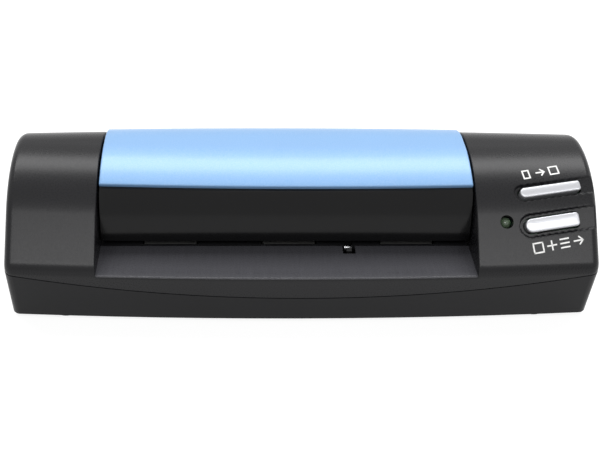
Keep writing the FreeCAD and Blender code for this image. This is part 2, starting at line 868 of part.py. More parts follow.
def pinch_seats(name, key, inner):
    """Blocks, or their bores, that hold the ends of one pinch roller shaft."""
    spot = (PINCH_Y[key], PINCH_Z)
    items = []
    for x in PINCH_SEAT_X:
        span = (x - S.seat_width / 2, x + S.seat_width / 2)
        if inner:
            items.append(rod(name, "X", S.pinch_shaft_radius + S.shaft_clearance,
                             (span[0] - S.seat_width, span[1] + S.seat_width), spot))
        else:
            low = PINCH_Z - S.seat_drop
            items.append(block(name, span, (spot[0] - S.seat_width, spot[0] + S.seat_width), (low, SKY)))
    return items


def cover_shell():
    """Black cover frame: the bar, the hollow roof under the panel and the hinge barrel."""
    proud = form("cover_form", -S.panel_proud, S.foot_height)
    blank = prism("cover_blank", "YZ", cover_section(), COVER_X)
    roof = form("cover_roof", S.panel_thickness - S.panel_proud + S.cover_wall, S.foot_height)
    hollow_zone = prism("cover_hollow", "YZ", hollow_section(), INNER_X)
    hollow = overlap("cover_space", [roof, hollow_zone])
    seats = pinch_seats("front_seat", "front", False) + pinch_seats("rear_seat", "rear", False)
    for side, x in (("left", PLATEN_X[0]), ("right", PLATEN_X[1])):
        inward = S.spring_inset if side == "left" else -S.spring_inset
        seats.append(rod(side + "_spring_boss", "Z", S.spring_radius * 2,
                         (SPRING_SEAT + S.spring_length, SKY),
                         (x + inward, S.module_y)))
    ribs = overlap("cover_ribs", [fuse("cover_rib_blocks", seats), roof, blank])
    wall = cut("cover_wall_solid", overlap("cover_solid", [proud, blank]), [hollow])
    barrel = rod("cover_barrel", "X", S.barrel_radius, COVER_X, HINGE)
    floor = form("panel_floor", S.panel_thickness - S.panel_proud, S.foot_height)
    layer = cut("panel_layer", proud, [floor])
    recess = overlap("panel_recess", [layer, panel_zone("panel_seat_zone", as_size(0))])
    bores = pinch_seats("front_seat_bore", "front", True) + pinch_seats("rear_seat_bore", "rear", True)
    for name, x, inward in (("left_pin_bore", COVER_X[0], 1), ("right_pin_bore", COVER_X[1], -1)):
        ends = (x, x + inward * S.pin_length)
        span = ends if inward == 1 else (ends[1], ends[0])
        bores.append(rod(name, "X", S.pin_radius + S.pin_clearance, span, HINGE))
    body = cut("cover_body", fuse("cover_joined", [wall, barrel, ribs]), [recess] + bores)
    part(body, "cover_shell")
    panel = overlap("panel_blank", [layer, panel_zone("panel_zone", S.panel_gap)])
    across = block("panel_across", COVER_X, (-FAR, FAR), (0, SKY))
    part(overlap("panel", [panel, across]), "cover_panel")


def cover_guide():
    """Plate under the cover that is the ceiling of the card path."""
    front = -S.bar_foot_y + S.cover_wall
    ramp = S.guide_thickness
    plate = body_pad("guide_plate", "YZ", [
        (front + S.panel_gap, GUIDE_TOP),
        (front + ramp, GUIDE_FOOT),
        (S.hinge_y - S.panel_gap, GUIDE_FOOT),
        (S.hinge_y - S.panel_gap, GUIDE_TOP),
    ], COVER_X)
    gap = S.window_gap
    cuts = [block("platen_window", (PLATEN_X[0] - gap, PLATEN_X[1] + gap),
                  (PLATEN_Y[0] - gap, PLATEN_Y[1] + gap),
                  (0, SKY))]
    half = S.pinch_length / 2 + gap
    for key, y in PINCH_Y.items():
        for x in ROLLER_X:
            cuts.append(block(key + "_pinch_window", (x - half, x + half),
                              (y - S.pinch_radius - gap, y + S.pinch_radius + gap), (0, SKY)))
        cuts.append(rod(key + "_groove", "X", S.pinch_shaft_radius + gap, COVER_X, (y, PINCH_Z)))
    part(cut("guide", plate, cuts), "cover_guide")


def pinch_rollers(key):
    """Three free rollers on a steel shaft in the cover."""
    spot = (PINCH_Y[key], PINCH_Z)
    half = S.pinch_length / 2
    rollers = []
    for x in ROLLER_X:
        rollers.append(tube(key + "_pinch_roller", "X", S.pinch_radius, S.pinch_shaft_radius,
                            (x - half, x + half),
                            spot))
    part(group(key + "_pinch", rollers), key + "_pinch_rollers")
    ends = (PINCH_SEAT_X[0] - S.seat_width / 2, PINCH_SEAT_X[-1] + S.seat_width / 2)
    part(rod(key + "_pinch_rod", "X", S.pinch_shaft_radius, ends, spot), key + "_pinch_shaft")


def coil(name, x, y, low, high):
    """Compression spring that stands upright between two heights."""
    helix = doc.addObject("Part::Helix", name + "_path")
    wire = S.spring_wire
    bind(helix, "Pitch", (high - low - wire * 2) / S.spring_turns)
    bind(helix, "Height", high - low - wire * 2)
    bind(helix, "Radius", S.spring_radius)
    ring = doc.addObject("Part::Circle", name + "_wire")
    bind(ring, "Radius", wire)
    ring.Placement = FreeCAD.Placement(FreeCAD.Vector(), PLANES["XZ"])
    place(ring, S.spring_radius, 0, 0)
    item = doc.addObject("Part::Sweep", name)
    item.Sections = [ring]
    item.Spine = (helix, [])
    item.Solid = True
    item.Frenet = True
    place(item, x, y, low + wire)
    return item


# Places of the pinch shafts' seats, counted in sleeve pitches from the middle roller.
PINCH_SEAT_STEPS = (-1.42, -0.5, 0.5, 1.42)
PINCH_SEAT_X = [S.roller_centre_x + S.sleeve_pitch * step for step in PINCH_SEAT_STEPS]
cover_shell()
cover_guide()
part(block("platen", PLATEN_X, PLATEN_Y, (PLATEN_FOOT, SPRING_SEAT)), "white_platen")
for end in PINCH_Y:
    pinch_rollers(end)
part(group("hinge_pin_pair", [
    rod("left_pin", "X", S.pin_radius,
        (-S.throat_left - S.throat_wall, -S.throat_left + S.pin_length), HINGE),
    rod("right_pin", "X", S.pin_radius,
        (S.throat_right - S.pin_length, S.throat_right + S.throat_wall), HINGE),
]), "hinge_pins")
part(group("platen_coils", [
    coil("left_platen_coil", PLATEN_X[0] + S.spring_inset, S.module_y, SPRING_SEAT,
         SPRING_SEAT + S.spring_length),
    coil("right_platen_coil", PLATEN_X[1] - S.spring_inset, S.module_y, SPRING_SEAT,
         SPRING_SEAT + S.spring_length),
]), "platen_springs")

PLATE_LEFT = (-S.throat_left, S.side_plate_thickness - S.throat_left)
PLATE_RIGHT = (S.throat_right - S.side_plate_thickness, S.throat_right)
GUIDE_X = (-S.throat_left + S.panel_gap, S.throat_right - S.panel_gap)
PLATE_FLOOR = CASING_FLOOR
MODULE_Y = (S.module_y - S.module_width / 2, S.module_y + S.module_width / 2)
MODULE_X = (-S.module_left, S.module_right)
MODULE_TOP = S.shelf_height - S.glass_below_path
BORE = S.shaft_radius + S.shaft_clearance
PITCH = S.gear_module / 2
GEAR_X = (S.gear_start, S.gear_start + S.gear_width)
WHEEL_X = (GEAR_X[1] + S.stage_gap, GEAR_X[1] + S.stage_gap + S.wheel_width)
BRACKET_X = (WHEEL_X[1] + S.bracket_gap, WHEEL_X[1] + S.bracket_gap + S.bracket_thickness)


def scan_guide():
    """Floor plate of the card path, with windows for the rollers and the scan module."""
    rear = HALF_DEPTH - S.rear_bow - S.wall - S.guide_rear_gap
    plate = body_pad("path_plate", "YZ", rectangle((-S.shelf_rear + S.seam_gap, rear),
                                                   (S.shelf_height - S.guide_thickness, S.shelf_height)), GUIDE_X)
    gap = S.window_gap
    cuts = [block("module_window", (MODULE_X[0] - gap, MODULE_X[1] + gap),
                  (MODULE_Y[0] - gap, MODULE_Y[1] + gap),
                  (0, SKY))]
    half = S.sleeve_length / 2 + gap
    for key, spot, radius in (("feed", FEED_SPOT, S.feed_radius), ("exit", EXIT_SPOT, S.exit_radius)):
        for x in ROLLER_X:
            cuts.append(block(key + "_window", (x - half, x + half),
                              (spot[0] - radius + gap, spot[0] + radius - gap), (0, SKY)))
    cuts.append(lever_slot("guide_notch"))
    part(cut("scan_path", plate, cuts), "scan_guide")


def side_plate(side, span):
    """Upright steel plate with bearing holes for both roller shafts."""
    top = S.shelf_height - S.guide_thickness
    plate = body_pad(side + "_plate", "YZ", rectangle((-S.shelf_rear + S.wall, S.exit_y + S.exit_radius),
                                                      (PLATE_FLOOR, top)), span)
    foot_out = (span[0], span[0] + S.plate_foot) if side == "left" else (span[1] - S.plate_foot, span[1])
    foot = block(side + "_plate_foot", foot_out, (S.plate_foot_y, S.plate_foot_y + S.plate_foot),
                 (PLATE_FLOOR, PLATE_FLOOR + S.side_plate_thickness))
    holes = [rod(side + "_bush_hole", "X", S.bush_radius, span, spot) for spot in (FEED_SPOT, EXIT_SPOT)]
    part(cut(side + "_frame", fuse(side + "_frame_solid", [plate, foot]), holes), side + "_side_plate")


def roller(key, spot, radius):
    """Steel shaft with three rubber sleeves."""
    left = PLATE_LEFT[0] - S.shaft_overhang
    part(rod(key + "_rod", "X", S.shaft_radius, (left, GEAR_X[1] + S.clip_gap + S.clip_thickness), spot),
         key + "_shaft")
    half = S.sleeve_length / 2
    sleeves = [tube(key + "_sleeve", "X", radius, S.shaft_radius, (x - half, x + half), spot)
               for x in ROLLER_X]
    part(group(key + "_sleeves", sleeves), key + "_roller_sleeves")


def bushes():
    """Flanged plastic bearings in the side plates."""
    items = []
    for spot in (FEED_SPOT, EXIT_SPOT):
        for span, inward in ((PLATE_LEFT, 1), (PLATE_RIGHT, -1)):
            face = span[1] if inward == 1 else span[0]
            flange = (face, face + S.bush_flange) if inward == 1 else (face - S.bush_flange, face)
            sleeve = rod("bush_sleeve", "X", S.bush_radius, span, spot)
            collar = rod("bush_collar", "X", S.bush_flange_radius, flange, spot)
            reach = (PLATE_LEFT[0], PLATE_RIGHT[1])
            bore = rod("bush_bore", "X", BORE, reach, spot)
            items.append(cut("bush", fuse("bush_solid", [sleeve, collar]), [bore]))
    part(group("bush_set", items), "shaft_bushes")


def clips(key, spot):
    """Retaining rings on the left end of a shaft and outside its gear."""
    left = PLATE_LEFT[0] - S.clip_gap - S.clip_thickness
    rings = [tube(key + "_clip", "X", S.clip_radius, S.shaft_radius, (start, start + S.clip_thickness), spot)
             for start in (left, GEAR_X[1] + S.clip_gap)]
    part(group(key + "_clip_set", rings), key + "_shaft_clips")


def tooth_outline(teeth, phase):
    """Flat outline of a spur gear with straight-sided teeth, phase in tooth pitches."""
    pitch_radius = PITCH.number * teeth
    module = S.gear_module.number
    tip = pitch_radius + module * TOOTH_ABOVE
    foot = pitch_radius - module * TOOTH_BELOW
    slack = S.gear_backlash.number / pitch_radius / 2
    step = 2 * math.pi / teeth
    lean = math.tan(math.radians(PRESSURE_ANGLE))
    points = []
    for number in range(teeth):
        middle = (number + phase) * step
        half = step / 4 - slack
        for radius, side in ((foot, -1), (tip, -1), (tip, 1), (foot, 1)):
            spread = half - (radius - pitch_radius) * lean / pitch_radius
            angle = middle + side * spread
            points.append(FreeCAD.Vector(0, radius * math.cos(angle), radius * math.sin(angle)))
    return Part.makePolygon(points + points[:1])


def gear_blank(name, teeth, phase, span, spot):
    """Toothed ring whose many flanks are worked out by a loop."""
    start, end, y, z = (as_size(value).number for value in (*span, *spot))
    face = Part.Face(tooth_outline(int(as_size(teeth).number), phase))
    item = doc.addObject("Part::Feature", name)
    item.Shape = face.extrude(FreeCAD.Vector(end - start, 0, 0))
    place(item, start, y, z)
    bind(item, "Placement.Base.x", span[0])
    return item


PRESSURE_ANGLE = 20.0
# Height of a tooth above and below the pitch circle, in modules.
TOOTH_ABOVE = 0.9
TOOTH_BELOW = 1.2
FEED_PITCH = PITCH * S.feed_teeth
EXIT_PITCH = PITCH * S.exit_teeth
IDLER_PITCH = PITCH * S.idler_teeth
SMALL_PITCH = PITCH * S.small_teeth
WHEEL_PITCH = PITCH * S.wheel_teeth
PINION_PITCH = PITCH * S.pinion_teeth


def third_corner(first, second, from_first, from_second):
    """Upper point at given distances from two others."""
    dy = second[0] - first[0]
    dz = second[1] - first[1]
    span = root(dy * dy + dz * dz)
    along = (from_first * from_first - from_second * from_second + span * span) / (span * 2)
    rise = root(from_first * from_first - along * along)
    return (first[0] + (dy * along - dz * rise) / span, first[1] + (dz * along + dy * rise) / span)


def polar(spot, distance, angle):
    """Point at a distance and an angle from another, from +Y towards +Z."""
    return (spot[0] + distance * cosine(angle), spot[1] + distance * sine(angle))


IDLER_SPOT = third_corner(FEED_SPOT, EXIT_SPOT, FEED_PITCH + IDLER_PITCH, EXIT_PITCH + IDLER_PITCH)
COMPOUND_SPOT = polar(IDLER_SPOT, IDLER_PITCH + SMALL_PITCH, S.compound_angle)
MOTOR_SPOT = polar(COMPOUND_SPOT, WHEEL_PITCH + PINION_PITCH, S.motor_angle)


def heading(first, second):
    """Angle in radians from one point to another."""
    return math.atan2(second[1].number - first[1].number, second[0].number - first[0].number)


def mesh_phase(teeth, other_teeth, other_phase, spot, other_spot):
    """Phase that puts a tooth space opposite the other gear's tooth, in tooth pitches."""
    count = int(teeth.number)
    other_count = int(other_teeth.number)
    towards = heading(other_spot, spot)
    other_turn = towards / (2 * math.pi) * other_count - other_phase
    offset = other_turn - math.floor(other_turn)
    back = heading(spot, other_spot) / (2 * math.pi) * count
    return back + 0.5 + offset


def gear_train():
    """All the toothed wheels, each in mesh with its neighbour at rest."""
    idler_phase = 0.0
    feed_phase = mesh_phase(S.feed_teeth, S.idler_teeth, idler_phase, FEED_SPOT, IDLER_SPOT)
    exit_phase = mesh_phase(S.exit_teeth, S.idler_teeth, idler_phase, EXIT_SPOT, IDLER_SPOT)
    small_phase = mesh_phase(S.small_teeth, S.idler_teeth, idler_phase, COMPOUND_SPOT, IDLER_SPOT)
    pinion_phase = mesh_phase(S.pinion_teeth, S.wheel_teeth, 0.0, MOTOR_SPOT, COMPOUND_SPOT)
    post_bore = S.post_radius + S.gear_bore_clearance
    for key, teeth, phase, spot, bore in (
            ("feed", S.feed_teeth, feed_phase, FEED_SPOT, S.shaft_radius),
            ("exit", S.exit_teeth, exit_phase, EXIT_SPOT, S.shaft_radius),
            ("idler", S.idler_teeth, idler_phase, IDLER_SPOT, post_bore)):
        blank = gear_blank(key + "_teeth", teeth, phase, GEAR_X, spot)
        dish = (PITCH * teeth) - S.gear_module * TOOTH_BELOW * 2
        hub = bore + S.hub_wall
        groove_reach = (GEAR_X[1] - S.dish_depth, GEAR_X[1] + S.dish_depth)
        groove = tube(key + "_dish", "X", dish, hub, groove_reach, spot)
        hole = rod(key + "_bore", "X", bore, GEAR_X, spot)
        part(cut(key + "_wheel", blank, [hole, groove]), key + "_gear")
    small = gear_blank("small_teeth_ring", S.small_teeth, small_phase, GEAR_X, COMPOUND_SPOT)
    wheel = gear_blank("wheel_teeth_ring", S.wheel_teeth, 0.0, WHEEL_X, COMPOUND_SPOT)
    neck_radius = SMALL_PITCH - S.gear_module * TOOTH_BELOW
    neck = rod("compound_neck", "X", neck_radius, (GEAR_X[1], WHEEL_X[0]), COMPOUND_SPOT)
    bore = rod("compound_bore", "X", post_bore, (GEAR_X[0], WHEEL_X[1]), COMPOUND_SPOT)
    part(cut("compound", fuse("compound_solid", [small, wheel, neck]), [bore]), "compound_gear")
    pinion = gear_blank("pinion_teeth_ring", S.pinion_teeth, pinion_phase, WHEEL_X, MOTOR_SPOT)
    pinion_bore = rod("pinion_bore", "X", S.motor_shaft_radius, WHEEL_X, MOTOR_SPOT)
    part(cut("pinion", pinion, [pinion_bore]), "motor_pinion")


def bracket():
    """Upright steel plate beside the gears, with a foot on the casing floor."""
    low = S.bracket_front
    outline_corners = [
        (-low, PLATE_FLOOR),
        (S.bracket_rear, PLATE_FLOOR),
        (S.bracket_rear, S.bracket_shoulder),
        (S.bracket_rear - S.bracket_slope, S.bracket_top),
        (-low, S.bracket_top),
    ]
    plate = body_pad("bracket_plate", "YZ", outline_corners, BRACKET_X)
    foot = block("bracket_foot", (BRACKET_X[0], BRACKET_X[1] + S.plate_foot), (-low, -low + S.plate_foot),
                 (PLATE_FLOOR, PLATE_FLOOR + S.bracket_thickness))
    holes = [rod("post_hole", "X", S.post_radius, BRACKET_X, spot) for spot in (IDLER_SPOT, COMPOUND_SPOT)]
    holes.append(rod("motor_hole", "X", S.motor_boss_radius, BRACKET_X, MOTOR_SPOT))
    part(cut("bracket", fuse("bracket_solid", [plate, foot]), holes), "gear_bracket")


def post(key, spot):
    """Steel post that carries a gear, with a head at its free end."""
    head = GEAR_X[0] - S.clip_gap - S.clip_thickness
    shank = rod(key + "_shank", "X", S.post_radius, (head, BRACKET_X[1]), spot)
    cap = rod(key + "_cap", "X", S.post_radius + S.clip_thickness, (head, head + S.clip_thickness), spot)
    part(fuse(key + "_pin", [shank, cap]), key + "_post")


def motor():
    """Flat stepper motor with its shaft boss, and the two screws of its flange."""
    start = BRACKET_X[1]
    can = rod("motor_can", "X", S.motor_radius, (start, start + S.motor_length), MOTOR_SPOT)
    boss = rod("motor_boss", "X", S.motor_boss_radius, (BRACKET_X[0], start), MOTOR_SPOT)
    bore = rod("motor_bore", "X", S.motor_shaft_radius + S.shaft_clearance,
               (BRACKET_X[0], start + S.motor_length / 2),
               MOTOR_SPOT)
    part(cut("motor", fuse("motor_solid", [can, boss]), [bore]), "motor_body")
    rotor_reach = (WHEEL_X[0], start + S.motor_length / 2)
    part(rod("rotor", "X", S.motor_shaft_radius, rotor_reach, MOTOR_SPOT), "motor_shaft")


scan_guide()
side_plate("left", PLATE_LEFT)
side_plate("right", PLATE_RIGHT)
roller("feed", FEED_SPOT, S.feed_radius)
roller("exit", EXIT_SPOT, S.exit_radius)
bushes()
clips("feed", FEED_SPOT)
clips("exit", EXIT_SPOT)
gear_train()
bracket()
post("idler", IDLER_SPOT)
post("compound", COMPOUND_SPOT)
motor()

MODULE_BOARD = (S.module_floor - S.module_board_thickness, S.module_floor)
SLOT_Y = (MODULE_Y[0] + S.module_wall, MODULE_Y[1] - S.module_wall)
SLOT_X = (MODULE_X[0] + S.module_wall, MODULE_X[1] - S.module_wall)
GLASS_FOOT = MODULE_TOP - S.glass_thickness
LENS_FOOT = GLASS_FOOT - S.lens_gap - S.lens_height
BOARD_TOP = S.board_height + S.board_thickness


def scan_module():
    """Contact image sensor: trough, glass, rod lens, board and the springs that press it up."""
    trough = block("module_block", MODULE_X, MODULE_Y, (S.module_floor, MODULE_TOP))
    hollow = block("module_hollow", SLOT_X, SLOT_Y, (S.module_floor, SKY))
    ledge_y = (S.module_y - S.lens_width / 2, S.module_y + S.lens_width / 2)
    ledge = block("lens_ledge", SLOT_X, SLOT_Y, (LENS_FOOT, GLASS_FOOT - S.lens_gap))
    slit = block("lens_slit", SLOT_X, ledge_y, (LENS_FOOT, GLASS_FOOT))
    frame = fuse("module_solid", [cut("module_trough", trough, [hollow]), cut("lens_holder", ledge, [slit])])
    part(frame, "scan_module_housing")
    part(block("module_glass", SLOT_X, SLOT_Y, (GLASS_FOOT, MODULE_TOP)), "scan_glass")
    part(block("rod_lens", SLOT_X, ledge_y, (LENS_FOOT, GLASS_FOOT - S.lens_gap)), "rod_lens")
    part(block("module_card", MODULE_X, MODULE_Y, MODULE_BOARD), "sensor_board")
    springs = []
    for side, x in (("left", MODULE_X[0] + S.spring_inset), ("right", MODULE_X[1] - S.spring_inset)):
        springs.append(coil(side + "_module_coil", x, S.module_y, CASING_FLOOR, MODULE_BOARD[0]))
    part(group("module_coils", springs), "module_springs")


def card_sensor():
    """Small lever that a card tips, and the light gate that its flag interrupts."""
    pivot = (-S.lever_front, S.lever_pivot_z)
    half = S.lever_width / 2
    arm = body_pad("lever_arm", "YZ", [
        (pivot[0] - half, pivot[1]),
        (pivot[0] + half, pivot[1]),
        (pivot[0] + half, S.shelf_height + S.lever_proud - half),
        (pivot[0], S.shelf_height + S.lever_proud),
        (pivot[0] - half, S.shelf_height + S.lever_proud - half),
    ], (SENSOR_X - half, SENSOR_X + half))
    barrel_reach = (SENSOR_X - S.lever_width, SENSOR_X + S.lever_width)
    barrel = rod("lever_barrel", "X", S.lever_width, barrel_reach, pivot)
    flag = block("lever_flag", (SENSOR_X - half / 2, SENSOR_X + half / 2),
                 (pivot[0] - half, pivot[0] + half),
                 (pivot[1] - S.flag_drop, pivot[1]))
    bore = rod("lever_bore", "X", S.pin_radius / 2 + S.shaft_clearance, (SENSOR_X - S.lever_width * 2,
                                                                          SENSOR_X + S.lever_width * 2), pivot)
    part(cut("lever", fuse("lever_solid", [arm, barrel, flag]), [bore]), "card_sensor_lever")
    gate_x = (SENSOR_X - S.gate_width / 2, SENSOR_X + S.gate_width / 2)
    gate_y = (pivot[0] - S.gate_width / 4, pivot[0] + S.gate_width / 4)
    base = block("gate_base", gate_x, gate_y, (CASING_FLOOR, CASING_FLOOR + S.gate_height))
    slot = block("gate_slot", (SENSOR_X - half, SENSOR_X + half), (-FAR, FAR),
                 (CASING_FLOOR + S.gate_floor, SKY))
    part(cut("gate", base, [slot]), "light_gate")
    ear = (SENSOR_X - S.gate_width / 2, SENSOR_X - S.lever_width - S.seam_gap)
    other = (SENSOR_X + S.lever_width + S.seam_gap, SENSOR_X + S.gate_width / 2)
    pin = rod("lever_pin", "X", S.pin_radius / 2, (ear[0], other[1]), pivot)
    ears = [block("lever_ear", span, (pivot[0] - half, pivot[0] + half),
                  (CASING_FLOOR + S.gate_height, pivot[1] + half)) for span in (ear, other)]
    part(fuse("lever_mount", [pin] + ears), "sensor_bracket")


def boards():
    """Main circuit board in the right housing, with its socket, chips and standoffs."""
    card_x = (BRACKET_X[1] + S.board_gap, HALF_LENGTH - S.wall - S.board_gap)
    card_y = (-S.board_front, S.board_rear)
    card = block("main_card", card_x, card_y, (S.board_height, BOARD_TOP))
    notch = casing_posts("card_notch", S.boss_radius + S.board_gap, 0, SKY)
    part(cut("main_card_notched", card, notch), "main_board")
    legs = []
    for y in (card_y[0] + S.board_leg_front, S.board_leg_rear):
        leg_spot = (card_x[0] + S.board_leg, y)
        legs.append(rod("card_leg", "Z", S.screw_radius, (CASING_FLOOR, S.board_height), leg_spot))
    part(group("card_legs", legs), "board_standoffs")
    chips = []
    for number in range(3):
        y = S.chip_y + S.chip_pitch * number
        chips.append(block("chip", (S.chip_x, S.chip_x + S.chip_side), (y, y + S.chip_side),
                           (BOARD_TOP, BOARD_TOP + S.chip_height)))
    part(group("chip_set", chips), "board_chips")
    rear = HALF_DEPTH - S.rear_bow + S.usb_shy
    shell = block("usb_shell", (S.usb_x - USB_HALF, S.usb_x + USB_HALF), (rear - S.usb_depth, rear),
                  (BOARD_TOP, BOARD_TOP + S.usb_height))
    mouth = block("usb_inside", (S.usb_x - USB_HALF + S.usb_wall, S.usb_x + USB_HALF - S.usb_wall),
                  (rear - S.usb_cavity, rear + S.usb_depth),
                   (BOARD_TOP + S.usb_wall, BOARD_TOP + S.usb_height - S.usb_wall))
    tongue = block("usb_tongue", (S.usb_x - USB_HALF / 2, S.usb_x + USB_HALF / 2),
                   (rear - S.usb_cavity, rear - S.usb_wall),
                   (BOARD_TOP + S.usb_height / 2 - S.usb_wall, BOARD_TOP + S.usb_height / 2 + S.usb_wall))
    part(cut("usb", shell, [mouth]), "usb_socket")
    part(tongue, "usb_contacts")


scan_module()
card_sensor()
boards()


def button(key, x, spot, slope, length, width):
    """Push button: a rounded key with a flange below the housing that keeps it in."""
    body = body_pad(key + "_key", "XY", slot_corners(length, width), (-S.button_depth, S.button_proud))
    flange_low = S.wall + S.rim_slack
    rim = body_pad(key + "_rim", "XY", slot_corners(length, width, S.rim_width),
                   (-S.button_depth, -flange_low))
    item = fuse(key + "_push", [body, rim])
    part(tilted(item, x, spot, slope, S.button_slant), key + "_button")


def switch(key, x, spot, slope):
    """Small push switch under a button, standing on the button board."""
    side = S.switch_side / 2
    case = block(key + "_switch_case", (-side, side), (-side, side), (-SWITCH_FOOT, -SWITCH_TOP - S.plunger))
    knob = rod(key + "_switch_knob", "Z", side / 2, (-SWITCH_TOP - S.plunger, -SWITCH_TOP), (0, 0))
    item = fuse(key + "_switch", [case, knob])
    return tilted(item, x, spot, slope, S.button_slant)


def small_board(key, x, spot, slope, length):
    """Circuit board under one switch, from its post to the end wall."""
    side = S.switch_side / 2 + S.switch_margin
    left = -length / 2 - S.card_lead - S.card_post_radius
    reach = HALF_LENGTH - S.wall - S.channel_slack - x
    right = reach / cosine(S.button_slant) - side * sine(S.button_slant)
    item = block(key + "_card", (left, right), (-side, side),
                 (-SWITCH_FOOT - S.button_board_thickness, -SWITCH_FOOT))
    return tilted(group(key + "_card_set", [item]), x, spot, slope, S.button_slant)


def lamp():
    """Three millimetre status lamp with a domed lens and a collar."""
    dome = doc.addObject("Part::Sphere", "lamp_dome")
    bind(dome, "Radius", S.lamp_radius)
    place(dome, 0, 0, -S.lamp_sink - S.lamp_radius)
    stem = rod("lamp_stem", "Z", S.lamp_radius, (-S.lamp_sink - S.lamp_radius - S.lamp_stem,
                                                 -S.lamp_sink - S.lamp_radius), (0, 0))
    collar = rod("lamp_collar", "Z", S.lamp_radius + S.channel_slack,
                 (-S.lamp_sink - S.lamp_radius - S.lamp_stem,
                  -S.lamp_sink - S.lamp_radius - S.lamp_stem + S.lamp_collar),
                 (0, 0))
    item = fuse("lamp", [dome, stem, collar])
    part(tilted(item, S.lamp_x, LAMP_SPOT, S.slope_angle, as_size(0)), "status_led")


for key, (x, spot, slope, length, width, groove) in BUTTONS.items():
    button(key, x, spot, slope, length, width)
part(group("switch_pair", [switch(key, x, spot, slope) for key, (x, spot, slope, *rest) in BUTTONS.items()]),
     "push_switches")
part(group("button_cards", [small_board(key, x, spot, slope, length)
                            for key, (x, spot, slope, length, *rest) in BUTTONS.items()]), "button_boards")
lamp()


def casing_screws():
    """Four screws that hold the casings together from below."""
    head_top = S.foot_height + S.screw_sink
    items = []
    shanks = casing_posts("screw_shank", S.screw_radius, head_top, S.post_split + S.screw_length)
    heads = casing_posts("screw_head", S.screw_head_radius, head_top - S.screw_head, head_top)
    for shank, head in zip(shanks, heads):
        items.append(fuse("screw", [shank, head]))
    part(group("screw_set", items), "casing_screws")


casing_screws()

doc.recompute()
faults = [item.Name for item in doc.Objects if "Invalid" in item.State or "Error" in item.State]
faults += [item.Label for item in PARTS if item.Shape.isNull() or not item.Shape.isValid()]
if faults:
    raise RuntimeError("These items failed: " + ", ".join(faults))

os.makedirs("parts", exist_ok=True)
for item in PARTS:
    item.Shape.exportStep(f"parts/{item.Label}.step")
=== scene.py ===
"""Looks of a compact business card scanner with a hinged blue cover and two silver push buttons."""

import math
from types import SimpleNamespace

import bmesh
import bpy
import numpy as np
from bpy.props import FloatProperty, PointerProperty, StringProperty
from mathutils import Matrix, Vector


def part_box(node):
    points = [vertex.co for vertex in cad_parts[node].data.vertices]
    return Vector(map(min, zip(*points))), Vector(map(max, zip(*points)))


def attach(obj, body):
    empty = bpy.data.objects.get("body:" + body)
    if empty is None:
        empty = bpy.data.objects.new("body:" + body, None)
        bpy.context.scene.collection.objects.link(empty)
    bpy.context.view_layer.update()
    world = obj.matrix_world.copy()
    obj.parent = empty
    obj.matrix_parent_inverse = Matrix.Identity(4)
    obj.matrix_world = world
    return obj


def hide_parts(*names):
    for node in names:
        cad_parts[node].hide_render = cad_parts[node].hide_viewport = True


bl_info = {
    "name": "Card Scanner Looks",
    "version": (1, 0, 0),
    "blender": (4, 5, 0),
    "location": "3D View > Sidebar > Card Scanner",
    "description": "Builds the surfaces, materials, light and camera of a business card scanner",
    "category": "Object",
}

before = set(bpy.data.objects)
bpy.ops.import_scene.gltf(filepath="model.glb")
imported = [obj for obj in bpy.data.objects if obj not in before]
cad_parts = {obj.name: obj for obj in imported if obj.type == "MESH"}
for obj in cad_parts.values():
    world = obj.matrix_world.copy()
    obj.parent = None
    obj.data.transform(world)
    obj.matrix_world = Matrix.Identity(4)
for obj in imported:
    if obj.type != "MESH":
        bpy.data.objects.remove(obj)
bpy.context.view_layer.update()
MM = 0.001


def node_box(node):
    """Lowest and highest corner of a CAD node in millimetres."""
    low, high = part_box(node)
    return np.array(low) / MM, np.array(high) / MM


# Places read from the frame, in millimetres
COVER_LOW, COVER_HIGH = node_box("cover_shell")
PANEL_LOW, PANEL_HIGH = node_box("cover_panel")


def number(name, description, default):
    """Size in millimetres, or angle in degrees, that the user can change."""
    return FloatProperty(name=name, description=description, default=default)


def finish_colour(name, description, default):
    """Colour of a finish that the user can change, as sRGB hex."""
    return StringProperty(name=name, description=description, default=default)


